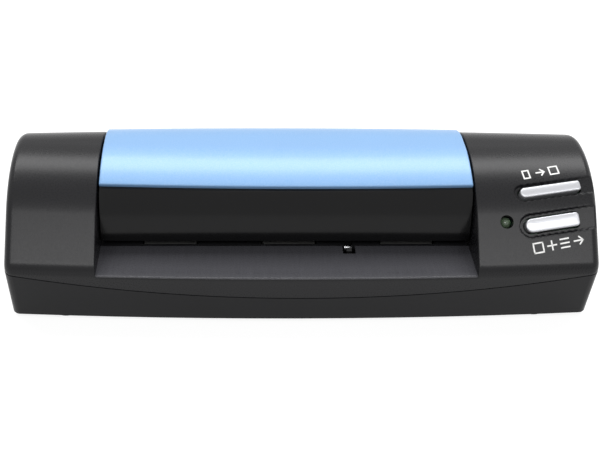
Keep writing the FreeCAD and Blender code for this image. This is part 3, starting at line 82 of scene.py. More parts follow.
class FormSizes(bpy.types.PropertyGroup):
    """Sizes of the outer form, the same as the solids'."""

    body_length: number("Body length", "Length along X", 165.0)
    end_depth: number("End depth", "Depth at the ends", 49.5)
    front_bow: number("Front bow", "How far the front bulges", 2.5)
    rear_bow: number("Rear bow", "How far the rear bulges", 2.0)
    crest_height: number("Crest height", "Height of the roof", 39.8)
    foot_height: number("Foot height", "Height of the underside", 1.5)
    front_undercut: number("Undercut", "Lean of the front below the nose", 1.9)
    nose_radius: number("Nose radius", "Rounding at the foot of the slope", 5.0)
    nose_height: number("Nose height", "Height where the nose starts", 17.3)
    slope_angle: number("Slope", "Angle of the front slope in degrees", 46.0)
    brow_radius: number("Brow radius", "Rounding above the slope", 30.0)
    back_radius: number("Back radius", "Rounding at the rear", 16.5)
    end_radius: number("End radius", "Rounding of the end rims", 2.5)
    wall: number("Wall", "Wall of the casings", 2.0)
    throat_wall: number("Throat wall", "Wall beside the cover", 1.6)
    throat_edge: number("Throat edge", "Rounding beside the cover", 0.5)
    cover_gap: number("Cover gap", "Gap at each side of the cover", 0.6)
    seam_height: number("Seam height", "Seam in the middle of the front", 10.0)
    notch_radius: number("Notch", "Radius of a shaft's notch", 3.5)
    shelf_rear: number("Shelf rear", "Rear edge of the shelf", -12.0)
    shelf_thickness: number("Shelf thickness", "Thickness of the shelf", 2.0)
    lip_radius: number("Lip radius", "Rounding of the shelf's lip", 0.6)
    rail_lean: number("Rail lean", "How far the rail's top leans in", 0.2)
    exit_height: number("Exit height", "Height of the exit slot", 3.4)
    exit_inset: number("Exit inset", "Wall left at each end of the exit slot", 3.0)
    lever_gap: number("Lever gap", "Gap round the sensor lever", 0.4)
    lever_travel: number("Lever travel", "Room behind the lever to tip", 4.0)
    rail_height: number("Rail height", "Top of the rear wall", 29.4)
    shelf_height: number("Shelf height", "Height of the card shelf", 17.5)
    panel_proud: number("Panel proud", "How far the panel stands out", 0.7)
    panel_thickness: number("Panel thickness", "Thickness of the panel", 1.6)
    panel_edge: number("Panel edge", "Soft edge of the panel", 0.45)
    panel_gap: number("Panel gap", "Joint round the panel", 0.1)
    bar_head_y: number("Bar head Y", "Top of the bar's face", -9.5)


class ButtonSizes(bpy.types.PropertyGroup):
    """Sizes and places of the two push buttons and the lamp."""

    scan_x: number("Upper X", "Middle of the upper button", 69.1)
    scan_slope: number("Upper slope", "Slope of the roof there, in degrees", 32.7)
    scan_length: number("Upper length", "Length of the upper button", 17.4)
    scan_width: number("Upper width", "Width of the upper button", 2.9)
    custom_x: number("Lower X", "Middle of the lower button", 69.1)
    custom_up: number("Lower rise", "Distance up the slope", 11.1)
    custom_length: number("Lower length", "Length of the lower button", 15.2)
    custom_width: number("Lower width", "Width of the lower button", 3.9)
    slant: number("Slant", "Turn of the buttons in degrees", 8.7)
    proud: number("Proud", "Height above the housing", 0.5)
    depth: number("Depth", "Depth of a key below the housing", 3.2)
    groove_depth: number("Groove depth", "Depth of the grooves", 1.2)
    groove_soft: number("Groove side", "Width of a groove's side", 0.45)
    groove_lead: number("Groove lead", "Groove left of a button", 1.6)
    scan_groove: number("Upper groove", "Width of the upper groove", 4.8)
    custom_groove: number("Lower groove", "Width of the lower groove", 6.4)
    key_gap: number("Key gap", "Gap round a key", 0.45)
    hole_edge: number("Hole edge", "Rounding of a key hole's cutter", 0.05)
    dot_radius: number("Dot radius", "Radius of the dark dot on a key", 0.34)
    lamp_x: number("Lamp X", "Place of the lamp", 56.2)
    lamp_up: number("Lamp rise", "Distance up the slope", 11.6)
    lamp_hole: number("Lamp hole", "Radius of the lamp's hole", 1.9)
    edge: number("Edge", "Soft edge of a key", 0.45)
    stroke: number("Stroke", "Width of a printed stroke", 0.42)
    upper_mark_x: number("Upper mark X", "Left end of the upper marks", 62.2)
    upper_mark_up: number("Upper mark rise", "Distance up the roof", 24.2)
    lower_mark_x: number("Lower mark X", "Left end of the lower marks", 63.7)
    lower_mark_up: number("Lower mark rise", "Distance up the slope", 2.6)


class Finishes(bpy.types.PropertyGroup):
    """Colours of the finishes, as sRGB hex."""

    housing: finish_colour("Housing", "Charcoal ABS", "#19191B")
    # Shelf: a paler charcoal, painted on the card shelf's top as a painted highlight
    rubbed: finish_colour("Shelf", "Charcoal ABS rubbed by cards", "#404044")
    tub: finish_colour("Lower casing", "Dark ABS", "#111113")
    bar: finish_colour("Bar", "Gloss black ABS", "#0A0A0B")
    panel: finish_colour("Panel", "Blue metallic lacquer", "#679CCF")
    silver: finish_colour("Buttons", "Silver paint", "#BFC0C4")


MATERIALS = {}


def linear(code):
    """Linear RGBA of an sRGB hex colour."""
    values = np.array([int(code[at:at + 2], 16) for at in (1, 3, 5)]) / 255
    flat = np.where(values <= 0.04045, values / 12.92, ((values + 0.055) / 1.055) ** 2.4)
    return (*flat, 1.0)


def add(tree, kind, inputs=None, **settings):
    """Adds a node with its settings. An input that is another node's output is linked."""
    item = tree.nodes.new(kind)
    for key, value in settings.items():
        setattr(item, key, value)
    for key, value in (inputs or {}).items():
        if isinstance(value, bpy.types.NodeSocket):
            tree.links.new(value, item.inputs[key])
        else:
            item.inputs[key].default_value = value
    return item


def grain(tree, size, detail=2.0, stretch=None):
    """Noise on the object's own coordinates with cells of a size in millimetres."""
    spot = add(tree, "ShaderNodeTexCoord").outputs["Object"]
    if stretch:
        spot = add(tree, "ShaderNodeMapping", {"Vector": spot, "Scale": stretch}).outputs["Vector"]
    inputs = {"Vector": spot, "Scale": 1 / (size * MM), "Detail": detail}
    return add(tree, "ShaderNodeTexNoise", inputs).outputs["Fac"]


def between(tree, factor, low=0.0, high=1.0, start=0.0, end=1.0):
    """Value that runs from low to high while a factor runs from start to end."""
    inputs = {"Value": factor, "From Min": start, "From Max": end, "To Min": low, "To Max": high}
    return add(tree, "ShaderNodeMapRange", inputs).outputs["Result"]


def blended(tree, factor, first, second):
    """Colour between two colours. Sockets 6, 7 and 2 are the mix node's two colours and its result."""
    return add(tree, "ShaderNodeMix", {"Factor": factor, 6: first, 7: second}, data_type="RGBA").outputs[2]


def relief(tree, factor, height, strength=1.0):
    """Bump of a height in millimetres."""
    inputs = {"Height": factor, "Distance": height * MM, "Strength": strength}
    return add(tree, "ShaderNodeBump", inputs).outputs["Normal"]


def surface(name, **sockets):
    """Empty material with a principled shader whose plain sockets are set."""
    material = bpy.data.materials.new(name)
    material.use_nodes = True
    shader = material.node_tree.nodes["Principled BSDF"]
    for key, value in sockets.items():
        shader.inputs[key.replace("_", " ")].default_value = value
    MATERIALS[name] = material
    return material.node_tree, shader


def seen_ray(tree):
    """1 for rays that come straight from the camera or by way of a mirror or glass, else 0."""
    path = add(tree, "ShaderNodeLightPath")
    inputs = {0: path.outputs["Is Camera Ray"], 1: path.outputs["Is Glossy Ray"]}
    direct = add(tree, "ShaderNodeMath", inputs, operation="MAXIMUM").outputs[0]
    inputs = {0: direct, 1: path.outputs["Is Transmission Ray"]}
    return add(tree, "ShaderNodeMath", inputs, operation="MAXIMUM").outputs[0]


def show_seen(tree, usual, seen, output):
    """Shows the rays of seen_ray one shader and all others the usual one."""
    mix = add(tree, "ShaderNodeMixShader", {"Fac": seen_ray(tree), 1: usual.outputs[0], 2: seen.outputs[0]})
    tree.links.new(mix.outputs[0], tree.nodes[output].inputs["Surface"])


def join(tree, shader, **sockets):
    """Links outputs to the shader's sockets."""
    for key, value in sockets.items():
        tree.links.new(value, shader.inputs[key.replace("_", " ")])


def shade(code, amount):
    """Colour made lighter or darker by a factor."""
    return (*[min(1.0, value * amount) for value in linear(code)[:3]], 1.0)


def textured(tree, shader, clouds, shades, grit, rough, height):
    """Joins a colour that runs between two shades, and a roughness and a relief in millimetres from grit."""
    join(tree, shader,
         Base_Color=blended(tree, clouds, *shades),
         Roughness=between(tree, grit, *rough),
         Normal=relief(tree, grit, height))


def moulded_plastic(name, colour, rough, cell, height, coat=0.0, gloss=0.5):
    """Moulded ABS or acetal: a spark-eroded skin of a cell size in mm, with faint flow marks 14 mm wide."""
    tree, shader = surface(name, IOR=1.53, Coat_Weight=coat, Coat_Roughness=0.12, Specular_IOR_Level=gloss)
    flow = grain(tree, 14.0, 3.0)
    skin = grain(tree, cell)
    shades = (shade(colour, 0.9), shade(colour, 1.1))
    textured(tree, shader, flow, shades, skin, (rough - 0.05, rough + 0.07), height)


def shelf_plastic_painted_highlight(name, colour, rubbed, level):
    """Moulded ABS painted paler, in faint streaks, from a height in millimetres upwards: a painted highlight
    for the light that falls on the card shelf's top.
    """
    tree, shader = surface(name, IOR=1.53, Specular_IOR_Level=0.2)
    spot = add(tree, "ShaderNodeTexCoord").outputs["Object"]
    height = add(tree, "ShaderNodeSeparateXYZ", {"Vector": spot}).outputs["Z"]
    # From this height upwards the paler shades are a painted highlight on the shelf's top
    share = between(tree, height, start=(level - 0.3) * MM, end=level * MM)
    streaks = grain(tree, 0.5, 2.0, (1.0, 0.05, 1.0))
    painted_highlight_shades = blended(tree, streaks, shade(rubbed, 0.85), shade(rubbed, 1.15))
    skin = grain(tree, 0.45)
    textured(tree, shader, share, (linear(colour), painted_highlight_shades), skin, (0.22, 0.34), 0.004)


def blue_lacquer(name, colour):
    """Metallic blue lacquer: flakes of 0.15 mm, drawn at 0.3 mm to show, under a clear coat."""
    tree, shader = surface(name, Metallic=0.1, Roughness=0.42, Coat_Weight=0.3, Coat_Roughness=0.2)
    flakes = grain(tree, 0.3, 1.0)
    clouds = grain(tree, 22.0)
    base = blended(tree, clouds, shade(colour, 0.96), shade(colour, 1.04))
    join(tree, shader,
         Base_Color=blended(tree, between(tree, flakes, 0.0, 0.16), base, linear("#FFFFFF")),
         Normal=relief(tree, flakes, 0.004))


def silver_paint(name, colour):
    """Silver paint on ABS: aluminium flakes of 0.1 mm, drawn at 0.25 mm, satin."""
    tree, shader = surface(name, Metallic=0.6)
    flakes = grain(tree, 0.25, 1.0)
    textured(tree, shader, flakes, (shade(colour, 0.92), shade(colour, 1.05)), flakes, (0.24, 0.38), 0.003)


def zinc_steel(name, colour, stretch, rough):
    """Steel sheet, rod or wire: drawn or rolled lines 0.2 mm apart along one direction, dull zinc clouds."""
    tree, shader = surface(name, Metallic=1.0)
    lines = grain(tree, 0.2, 2.0, stretch)
    clouds = grain(tree, 3.0, 3.0)
    shades = (shade(colour, 0.86), shade(colour, 1.06))
    textured(tree, shader, clouds, shades, lines, (rough - 0.08, rough + 0.12), 0.006)


def ground_rubber(name, colour, cell):
    """Ground or moulded rubber: matt, with fine pits and a faint sheen."""
    tree, shader = surface(name, IOR=1.5, Sheen_Weight=0.15)
    pits = grain(tree, cell, 3.0)
    textured(tree, shader, pits, (shade(colour, 0.85), shade(colour, 1.15)), pits, (0.62, 0.85), 0.03)


def circuit_board(name, colour):
    """Glass fibre board: green solder mask over copper tracks 0.5 mm wide, which show as paler lines."""
    tree, shader = surface(name, IOR=1.5, Coat_Weight=0.4, Coat_Roughness=0.15)
    spot = add(tree, "ShaderNodeTexCoord").outputs["Object"]
    turned = add(tree, "ShaderNodeMapping", {"Vector": spot, "Rotation": (0, 0, math.radians(45))})
    inputs = {"Vector": turned.outputs["Vector"], "Scale": 1 / (2.5 * MM), "Randomness": 0.25}
    cells = add(tree, "ShaderNodeTexVoronoi", inputs, feature="DISTANCE_TO_EDGE", voronoi_dimensions="2D")
    tracks = between(tree, cells.outputs["Distance"], start=0.1, end=0.16)
    weave = grain(tree, 0.6, 1.0)
    mask = blended(tree, tracks, shade(colour, 1.9), linear(colour))
    join(tree, shader,
         Base_Color=blended(tree, between(tree, weave, 0.0, 0.3), mask, shade(colour, 0.7)),
         Roughness=between(tree, weave, 0.3, 0.42),
         Normal=relief(tree, tracks, 0.03))


def clear_epoxy(name, colour, rough):
    """Clear cast epoxy or float glass, with a faint body colour."""
    tree, shader = surface(name, IOR=1.5, Transmission_Weight=0.75, Roughness=rough)
    haze = grain(tree, 1.2)
    join(tree, shader, Base_Color=blended(tree, haze, shade(colour, 0.85), shade(colour, 1.1)))


def printed_ink(name, colour):
    """Screen printed ink: flat, slightly uneven at 0.3 mm."""
    tree, shader = surface(name, IOR=1.48)
    mesh = grain(tree, 0.3, 1.0)
    textured(tree, shader, mesh, (shade(colour, 0.92), linear(colour)), mesh, (0.45, 0.6), 0.005)


def make_materials(colours):
    """One material for each real material of the object."""
    # Satin housing: a fine eroded skin that spreads the highlights into soft bands
    moulded_plastic("charcoal_abs", colours.housing, 0.27, 0.45, 0.004, gloss=0.2)
    # Lower tub: the same plastic in a darker, duller skin
    moulded_plastic("dark_abs", colours.tub, 0.36, 0.5, 0.006, gloss=0.18)
    # Polished tool surface: nearly a mirror under the lamps
    moulded_plastic("gloss_black_abs", colours.bar, 0.16, 1.5, 0.002, 0.1, 0.15)
    moulded_plastic("inner_abs", "#161618", 0.5, 0.5, 0.01, gloss=0.2)
    moulded_plastic("natural_acetal", "#E4E1D6", 0.38, 0.8, 0.004)
    moulded_plastic("black_acetal", "#111112", 0.5, 0.8, 0.004, gloss=0.15)
    moulded_plastic("white_platen_abs", "#E9E9E4", 0.45, 0.5, 0.005)
    moulded_plastic("epoxy_package", "#161617", 0.55, 0.4, 0.01)
    moulded_plastic("lens_array", "#8E8F86", 0.25, 0.3, 0.01)
    blue_lacquer("blue_lacquer", colours.panel)
    silver_paint("silver_paint", colours.silver)
    zinc_steel("zinc_sheet", "#A9ABAD", (1.0, 1.0, 0.08), 0.38)
    zinc_steel("ground_shaft", "#B9BABC", (1.0, 0.06, 0.06), 0.24)
    zinc_steel("motor_can", "#A5A6A8", (0.08, 1.0, 1.0), 0.34)
    zinc_steel("tin_plate", "#C4C5C6", (1.0, 0.1, 1.0), 0.22)
    zinc_steel("spring_wire", "#9C9DA0", (0.3, 0.3, 1.0), 0.28)
    ground_rubber("moulded_rubber", "#1C1C1C", 0.35)
    ground_rubber("roller_rubber", "#3C3C3B", 0.3)
    circuit_board("green_board", "#14512F")
    clear_epoxy("green_epoxy", "#8FA889", 0.12)
    clear_epoxy("float_glass", "#E6F0EC", 0.02)
    # Card shelf: the housing's plastic with its top painted paler, a painted highlight for the light that
    # falls on it
    shelf_plastic_painted_highlight("rubbed_abs", colours.housing, colours.rubbed, level=17.4)
    printed_ink("white_ink", "#F2F2F0")
    printed_ink("black_ink", "#0E0E10")


# CAD nodes that have each finish
FINISH_NODES = {
    "dark_abs": ("lower_casing",),
    "charcoal_abs": ("upper_casing",),
    "gloss_black_abs": ("cover_shell",),
    "blue_lacquer": ("cover_panel",),
    "inner_abs": ("cover_guide", "scan_guide"),
    "white_platen_abs": ("white_platen",),
    "natural_acetal": ("front_pinch_rollers", "rear_pinch_rollers", "feed_gear", "exit_gear",
                       "idler_gear", "compound_gear", "motor_pinion"),
    "ground_shaft": ("front_pinch_shaft", "rear_pinch_shaft", "hinge_pins", "feed_shaft", "exit_shaft",
                     "idler_post", "compound_post", "motor_shaft", "board_standoffs"),
    "spring_wire": ("platen_springs", "module_springs", "feed_shaft_clips", "exit_shaft_clips"),
    "zinc_sheet": ("left_side_plate", "right_side_plate", "gear_bracket", "casing_screws"),
    "roller_rubber": ("feed_roller_sleeves", "exit_roller_sleeves"),
    "black_acetal": ("shaft_bushes", "scan_module_housing", "card_sensor_lever", "sensor_bracket",
                     "usb_contacts"),
    "motor_can": ("motor_body",),
    "float_glass": ("scan_glass",),
    "lens_array": ("rod_lens",),
    "green_board": ("sensor_board", "main_board", "button_boards"),
    "epoxy_package": ("light_gate", "board_chips", "push_switches"),
    "tin_plate": ("usb_socket",),
    "silver_paint": ("scan_button", "custom_button"),
    "green_epoxy": ("status_led",),
    "moulded_rubber": ("rubber_feet",),
}


def welded_mesh(name, points, faces):
    """Mesh from points in millimetres, with doubled points merged and its faces turned outwards."""
    mesh = bpy.data.meshes.new(name)
    mesh.from_pydata((np.asarray(points) * MM).tolist(), [], [list(map(int, face)) for face in faces])
    mesh.validate()
    work = bmesh.new()
    work.from_mesh(mesh)
    bmesh.ops.remove_doubles(work, verts=work.verts, dist=1e-7)
    bmesh.ops.recalc_face_normals(work, faces=work.faces)
    work.to_mesh(mesh)
    work.free()
    return mesh


def into_scene(name, data):
    """New object of the scene from its data."""
    item = bpy.data.objects.new(name, data)
    bpy.context.scene.collection.objects.link(item)
    return item


def piece(name, points, faces, finish, body, replaced=(), slot=None, angle=40.0):
    """Piece with one material that rides on a body, shaded smooth up to an angle in degrees."""
    mesh = welded_mesh(name, points, faces)
    item = into_scene(name, mesh)
    mesh.shade_smooth()
    mesh.set_sharp_from_angle(angle=math.radians(angle))
    mesh.materials.append(MATERIALS[finish])
    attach(item, body)
    if replaced:
        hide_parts(*replaced)
    return item


def grid_faces(rows, columns, start=0, close_columns=False):
    """Quads of a grid whose points are numbered row by row."""
    across = columns if close_columns else columns - 1
    row, column = np.meshgrid(np.arange(rows - 1), np.arange(across), indexing="ij")
    after = (column + 1) % columns
    near, far = row * columns, (row + 1) * columns
    return start + np.stack([near + column, near + after, far + after, far + column], -1).reshape(-1, 4)


def spread(low, high, edge, step):
    """Positions from low to high, close together over an edge width at both ends."""
    near = edge * (1 - np.cos(np.linspace(0, math.pi / 2, 6)))
    middle = np.linspace(low + edge, high - edge, max(2, int((high - low) / step)))
    return np.concatenate([low + near[:-1], middle, (high - near[:-1])[::-1]])


def slab(us, vs, place, thickness, edge):
    """Plate on a surface: place(u, v, depth) is sampled on a grid at the top and at the thickness, and the
    top drops by edge - sqrt(edge^2 - (edge - d)^2) where d, the distance to the border, is under the edge."""
    u, v = np.meshgrid(us, vs, indexing="ij")
    border = np.minimum.reduce([u - us[0], us[-1] - u, v - vs[0], vs[-1] - v])
    inside = edge - np.clip(border, 0, edge)
    drop = edge - np.sqrt(np.maximum(edge ** 2 - inside ** 2, 0))
    top = np.stack(place(u, v, drop), -1)
    base = np.stack(place(u, v, np.full_like(u, thickness)), -1)
    rows, columns = u.shape
    count = rows * columns
    index = np.arange(count).reshape(rows, columns)
    ring = np.concatenate([index[:-1, 0], index[-1, :-1], index[:0:-1, -1], index[0, :0:-1]])
    after = np.roll(ring, -1)
    faces = np.concatenate([
        grid_faces(rows, columns),
        grid_faces(rows, columns, count)[:, ::-1],
        np.stack([ring, after, after + count, ring + count], -1),
    ])
    return np.concatenate([top.reshape(-1, 3), base.reshape(-1, 3)]), faces


def form_values():
    """Sizes of the outer form, and what is worked out from them: half the length and the depth, the skirt's
    lean, the top of the nose, the slope's straight stretch, and where the crest and the back start."""
    sizes = bpy.context.scene.scanner_form
    slope, brow = math.radians(sizes.slope_angle), sizes.brow_radius
    form = SimpleNamespace(slope=slope, half=sizes.body_length / 2)
    form.depth = (sizes.end_depth + sizes.front_bow + sizes.rear_bow) / 2
    form.lean = sizes.front_undercut / (sizes.nose_height - sizes.foot_height)
    form.shoulder = sizes.crest_height - sizes.back_radius
    form.nose_y = sizes.nose_radius * (1 - math.sin(slope)) - form.depth
    form.nose_z = sizes.nose_height + sizes.nose_radius * math.cos(slope)
    brow_foot = sizes.crest_height - brow * (1 - math.cos(slope))
    form.straight = (brow_foot - form.nose_z) / math.sin(slope)
    form.crest_y = form.nose_y + form.straight * math.cos(slope) + brow * math.sin(slope)
    form.crest_at = form.straight + brow * slope
    form.back_y = form.depth - sizes.back_radius
    form.back_at = form.crest_at + form.back_y - form.crest_y
    return sizes, form


def plan_radius(half, bow):
    """Radius of a side that bulges by a bow over the whole length."""
    return (half ** 2 + bow ** 2) / (2 * bow)


def bowed(y, x, front):
    """Y of a point once its side bulges over the whole length: it is turned about a far upright axis."""
    sizes, form = form_values()
    axis = plan_radius(form.half, sizes.front_bow if front else sizes.rear_bow) - form.depth
    reach = np.sqrt((axis - (y if front else -y)) ** 2 - x ** 2)
    return axis - reach if front else reach - axis


def front_line(up, depth_in):
    """Point (y, z) of the front half at the middle of the body, for a distance up the profile from the foot
    of the straight slope: the slope is straight, then a circle turns from the slope's angle to level."""
    sizes, form = form_values()
    turn = np.clip((up - form.straight) / sizes.brow_radius, 0, form.slope)
    flat = np.maximum(up - form.crest_at, 0)
    angle = form.slope - turn
    on_slope = up < form.straight
    y = np.where(on_slope, form.nose_y + up * math.cos(form.slope),
                 form.crest_y - sizes.brow_radius * np.sin(angle) + flat)
    z = np.where(on_slope, form.nose_z + up * math.sin(form.slope),
                 sizes.crest_height - sizes.brow_radius * (1 - np.cos(angle)))
    return y + depth_in * np.sin(angle), z - depth_in * np.cos(angle)


def front_place(x, up, depth_in):
    """Point on the front half of the form, with the bow."""
    y, z = front_line(up, depth_in)
    return x, bowed(y, x, True), z


def roof_place(x, along, depth_in):
    """Point on the whole roof: up the front slope and brow, level over the crest, then down the back's
    circle. Along is the distance from the foot of the slope, measured on the profile at the middle."""
    sizes, form = form_values()
    fy, fz = front_place(x, np.minimum(along, form.crest_at), depth_in)[1:]
    angle = np.maximum(along - form.back_at, 0) / sizes.back_radius
    radius = sizes.back_radius - depth_in
    by = bowed(form.back_y + radius * np.sin(angle), x, False)
    bz = form.shoulder + radius * np.cos(angle)
    share = np.clip((along - form.crest_at) / (form.back_at - form.crest_at), 0, 1)
    behind = along > form.back_at
    y = np.where(behind, by, fy + (bowed(form.back_y, x, False) - fy) * share)
    return x, y, np.where(behind, bz, np.where(along > form.crest_at, sizes.crest_height - depth_in, fz))


# Distances along the roof, 0.01 mm apart, at which it is looked up
ROOF_SAMPLES = np.linspace(0, 60, 6001)


def along_at(y_wanted):
    """Distance along the roof profile, at the middle of the body, where it reaches a place in Y."""
    zeros = np.zeros_like(ROOF_SAMPLES)
    y = roof_place(zeros, ROOF_SAMPLES, zeros)[1]
    return float(np.interp(y_wanted, y, ROOF_SAMPLES))


def slope_frame(x, up, slant):
    """Place and turn of a frame on the housing's front: its X runs along the body, turned by a slant, and
    its Z points outwards."""
    spot = np.array(front_place(np.array(x), np.array(up), np.array(0.0)), dtype=float)
    sizes, form = form_values()
    angle = form.slope - max(0.0, (up - form.straight) / sizes.brow_radius)
    lean = Matrix.Rotation(angle, 3, "X") @ Matrix.Rotation(math.radians(slant), 3, "Z")
    return spot, np.array(lean)


# Height of a key's crown as a share of its width
KEY_CROWN = 0.03


def key_shape(length, width, edge, foot, proud, count=24):
    """Push key: an outline with a round left end and a squarer right end is carried down a profile that
    rounds the top edge by a quarter circle. Each ring is the outline drawn towards the key's middle line."""
    side = width / 2
    corner = side / 2
    right = length / 2 - corner
    left = np.linspace(math.pi / 2, 3 * math.pi / 2, count)
    low = np.linspace(-math.pi / 2, 0, count // 3)
    outline = np.concatenate([
        np.stack([-length / 2 + side + side * np.cos(left), side * np.sin(left)], -1),
        np.stack([right + corner * np.cos(low), -side + corner + corner * np.sin(low)], -1),
        np.stack([right + corner * np.cos(-low[::-1]), side - corner - corner * np.sin(low[::-1])], -1),
    ])
    middle = np.clip(outline[:, 0], side - length / 2, length / 2 - side)
    spine = np.stack([middle, np.zeros(len(outline))], -1)
    turn = np.linspace(0, math.pi / 2, 6)
    flat = 1 - edge / side
    shares = np.concatenate([np.linspace(0, flat, 5)[:-1], 1 - edge / side * (1 - np.sin(turn)), [1, 0]])
    crown = KEY_CROWN * width
    heights = np.concatenate([proud + crown * (1 - np.linspace(0, 1, 5)[:-1] ** 2),
                              proud - edge * (1 - np.cos(turn)), [-foot, -foot]])
    rings = spine[None] + (outline - spine)[None] * shares[:, None, None]
    z = np.broadcast_to(heights[:, None], rings.shape[:2])
    points = np.concatenate([rings, z[..., None]], -1).reshape(-1, 3)
    return points, grid_faces(len(shares), len(outline), close_columns=True)


def dome(centre, radius, height, rows=5, columns=16):
    """Low round pip: a cap whose height is h(1 - r^2), closed below."""
    shares = np.concatenate([np.linspace(0, 1, rows), [1, 0]])
    heights = np.concatenate([height * (1 - np.linspace(0, 1, rows) ** 2), [-height, -height]])
    turn = np.linspace(0, 2 * math.pi, columns, endpoint=False)
    x = centre[0] + radius * shares[:, None] * np.cos(turn)
    y = centre[1] + radius * shares[:, None] * np.sin(turn)
    z = centre[2] + np.broadcast_to(heights[:, None], x.shape)
    return np.stack([x, y, z], -1).reshape(-1, 3), grid_faces(len(shares), columns, close_columns=True)


def stroke(start, end, width, steps=6):
    """Flat strip of points (u, v) along a straight line, with square ends half a width beyond it."""
    start, end = np.array(start), np.array(end)
    along = (end - start) / np.linalg.norm(end - start)
    across = np.array([-along[1], along[0]]) * width / 2
    line = (start - along * width / 2) + np.linspace(0, 1, steps)[:, None] * (end - start + along * width)
    return np.stack([line - across, line + across], 1)


def printed(x, up, slant, strips, proud, sunk):
    """Closed thin plates on the roof: each strip's u and v are turned by the slant and laid on the surface,
    a little above it at the top and a little below it underneath."""
    turn = math.radians(slant)
    points, faces, start = [], [], 0
    for strip in strips:
        u, v = strip[..., 0], strip[..., 1]
        place = (x + u * math.cos(turn) - v * math.sin(turn), up + u * math.sin(turn) + v * math.cos(turn))
        top = np.stack(roof_place(*place, np.full_like(u, -proud)), -1)
        base = np.stack(roof_place(*place, np.full_like(u, sunk)), -1)
        rings = np.concatenate([top, base[:, ::-1]], 1)
        points.append(rings.reshape(-1, 3))
        faces += [[corner + start for corner in face] for face in bar_faces(*rings.shape[:2])]
        start += len(points[-1])
    return np.concatenate(points), faces


def seam_height(x):
    """Height of the line where the casings part: a circle that is low in the middle of the body."""
    sizes = bpy.context.scene.scanner_form
    rise = sizes.nose_height - sizes.seam_height
    radius = plan_radius(sizes.body_length / 2, rise)
    return sizes.seam_height + radius - np.sqrt(radius ** 2 - x ** 2)


def profile(x, inset, columns):
    """Ring of points over the body at each x, from the front of the seam over the roof to the rear of it.
    The skirt leans in below the nose, the nose is a circle, then roof_place carries on and a straight wall
    ends at the seam. Everything is drawn in by the inset. x and inset have one row per ring."""
    sizes, form = form_values()
    depth = form.depth
    low = seam_height(x)
    skirt_z = low + (sizes.nose_height - low) * np.linspace(0, 1, columns["skirt"], endpoint=False)
    skirt_y = inset - depth + form.lean * (sizes.nose_height - skirt_z)
    turn = np.linspace(0, math.pi / 2 - form.slope, columns["nose"], endpoint=False)
    nose = sizes.nose_radius - inset
    nose_y = sizes.nose_radius - depth - nose * np.cos(turn)
    nose_z = sizes.nose_height + nose * np.sin(turn)
    front_y = bowed(np.concatenate([skirt_y, np.broadcast_to(nose_y, nose_z.shape)], 1), x, True)
    roof_y, roof_z = roof_place(x, columns["roof"][None], inset)[1:]
    wall_z = form.shoulder + (low - form.shoulder) * np.linspace(0, 1, columns["rear"] + 1)[1:]
    wall_y = bowed(depth - inset, x, False) + 0 * wall_z
    y = np.concatenate([front_y, roof_y, wall_y], 1)
    z = np.concatenate([skirt_z, nose_z, roof_z, wall_z], 1)
    return np.stack([np.broadcast_to(x, y.shape), y, z], -1)


def carved(points, place, length, width, lead, depth, soft):
    """Lowers points to a flat floor inside a groove with a round left end that runs out to the right:
    z becomes z - s * max(z + depth, 0), where s steps smoothly from 0 to 1 across the groove's side."""
    spot, turn = place
    local = (points - spot) @ turn
    side = width / 2
    start = side - length / 2 - lead
    distance = np.hypot(np.minimum(local[..., 0] - start, 0), local[..., 1]) - side
    share = np.clip(0.5 - distance / soft, 0, 1)
    share = share * share * (3 - 2 * share)
    near = (local[..., 2] > -depth * 4) & (local[..., 0] > -length)
    local[..., 2] -= np.where(near, share * np.maximum(local[..., 2] + depth, 0), 0)
    return local @ turn.T + spot


def shell_faces(rings, columns):
    """Faces of a closed shell made of an outer and an inner run of open rings, joined along both rims."""
    count = rings * columns
    row = np.arange(rings - 1)
    front = np.stack([row, row + 1], -1) * columns
    rear = front + columns - 1
    rims = [np.stack([start, end, end + count, start + count], -1) for start, end in (front.T, rear.T)]
    return np.concatenate([grid_faces(rings, columns), grid_faces(rings, columns, count)[:, ::-1], *rims])


def housing_points(side, throat, step, columns, grooves=()):
    """Hollow end housing: rings run from the middle of the end face over the rounded rim and along the body
    to the throat, where the edge is rounded above the shelf, and down the throat wall to its middle."""
    sizes = bpy.context.scene.scanner_form
    half = sizes.body_length / 2
    rim, soft, wall = sizes.end_radius, sizes.throat_edge, sizes.wall
    turn = np.linspace(0, math.pi / 2, 10)
    body = np.linspace(half - rim, abs(throat) + soft, int((half - rim - abs(throat)) / step))[1:-1]
    shares = np.linspace(0, 1, 6)[:-1]
    x = np.concatenate([np.full(5, half), half - rim * (1 - np.cos(turn)), body,
                        abs(throat) + soft * (1 - np.sin(turn)), np.full(5, abs(throat))])
    inset = np.concatenate([np.full(5, rim), rim * (1 - np.sin(turn)), 0 * body,
                            soft * (1 - np.cos(turn)), np.full(5, soft)])
    share = np.concatenate([shares, np.ones(20 + len(body)), shares[::-1]])
    x, inset, share = (values[:, None] for values in (x, inset, share))
    at_throat = x < abs(throat) + soft
    outer = profile(x * side, inset, columns)
    plain = profile(np.where(at_throat, abs(throat), x) * side, np.where(at_throat, 0, inset), columns)
    above = np.clip((plain[..., 2:] - sizes.shelf_height) / soft, 0, 1)
    outer = np.where(at_throat[..., None], plain + (outer - plain) * above, outer)
    for groove in grooves:
        outer = carved(outer, *groove)
    inner_x = np.clip(x, abs(throat) + sizes.throat_wall, half - wall)
    inner = profile(inner_x * side, np.full_like(inset, wall), columns)
    runs = []
    for run in (outer, inner):
        middle = (run[:, :1] + run[:, -1:]) / 2
        runs.append(middle + (run - middle) * share[..., None])
    points = np.concatenate(runs).reshape(-1, 3)
    return points, shell_faces(len(x), outer.shape[1])


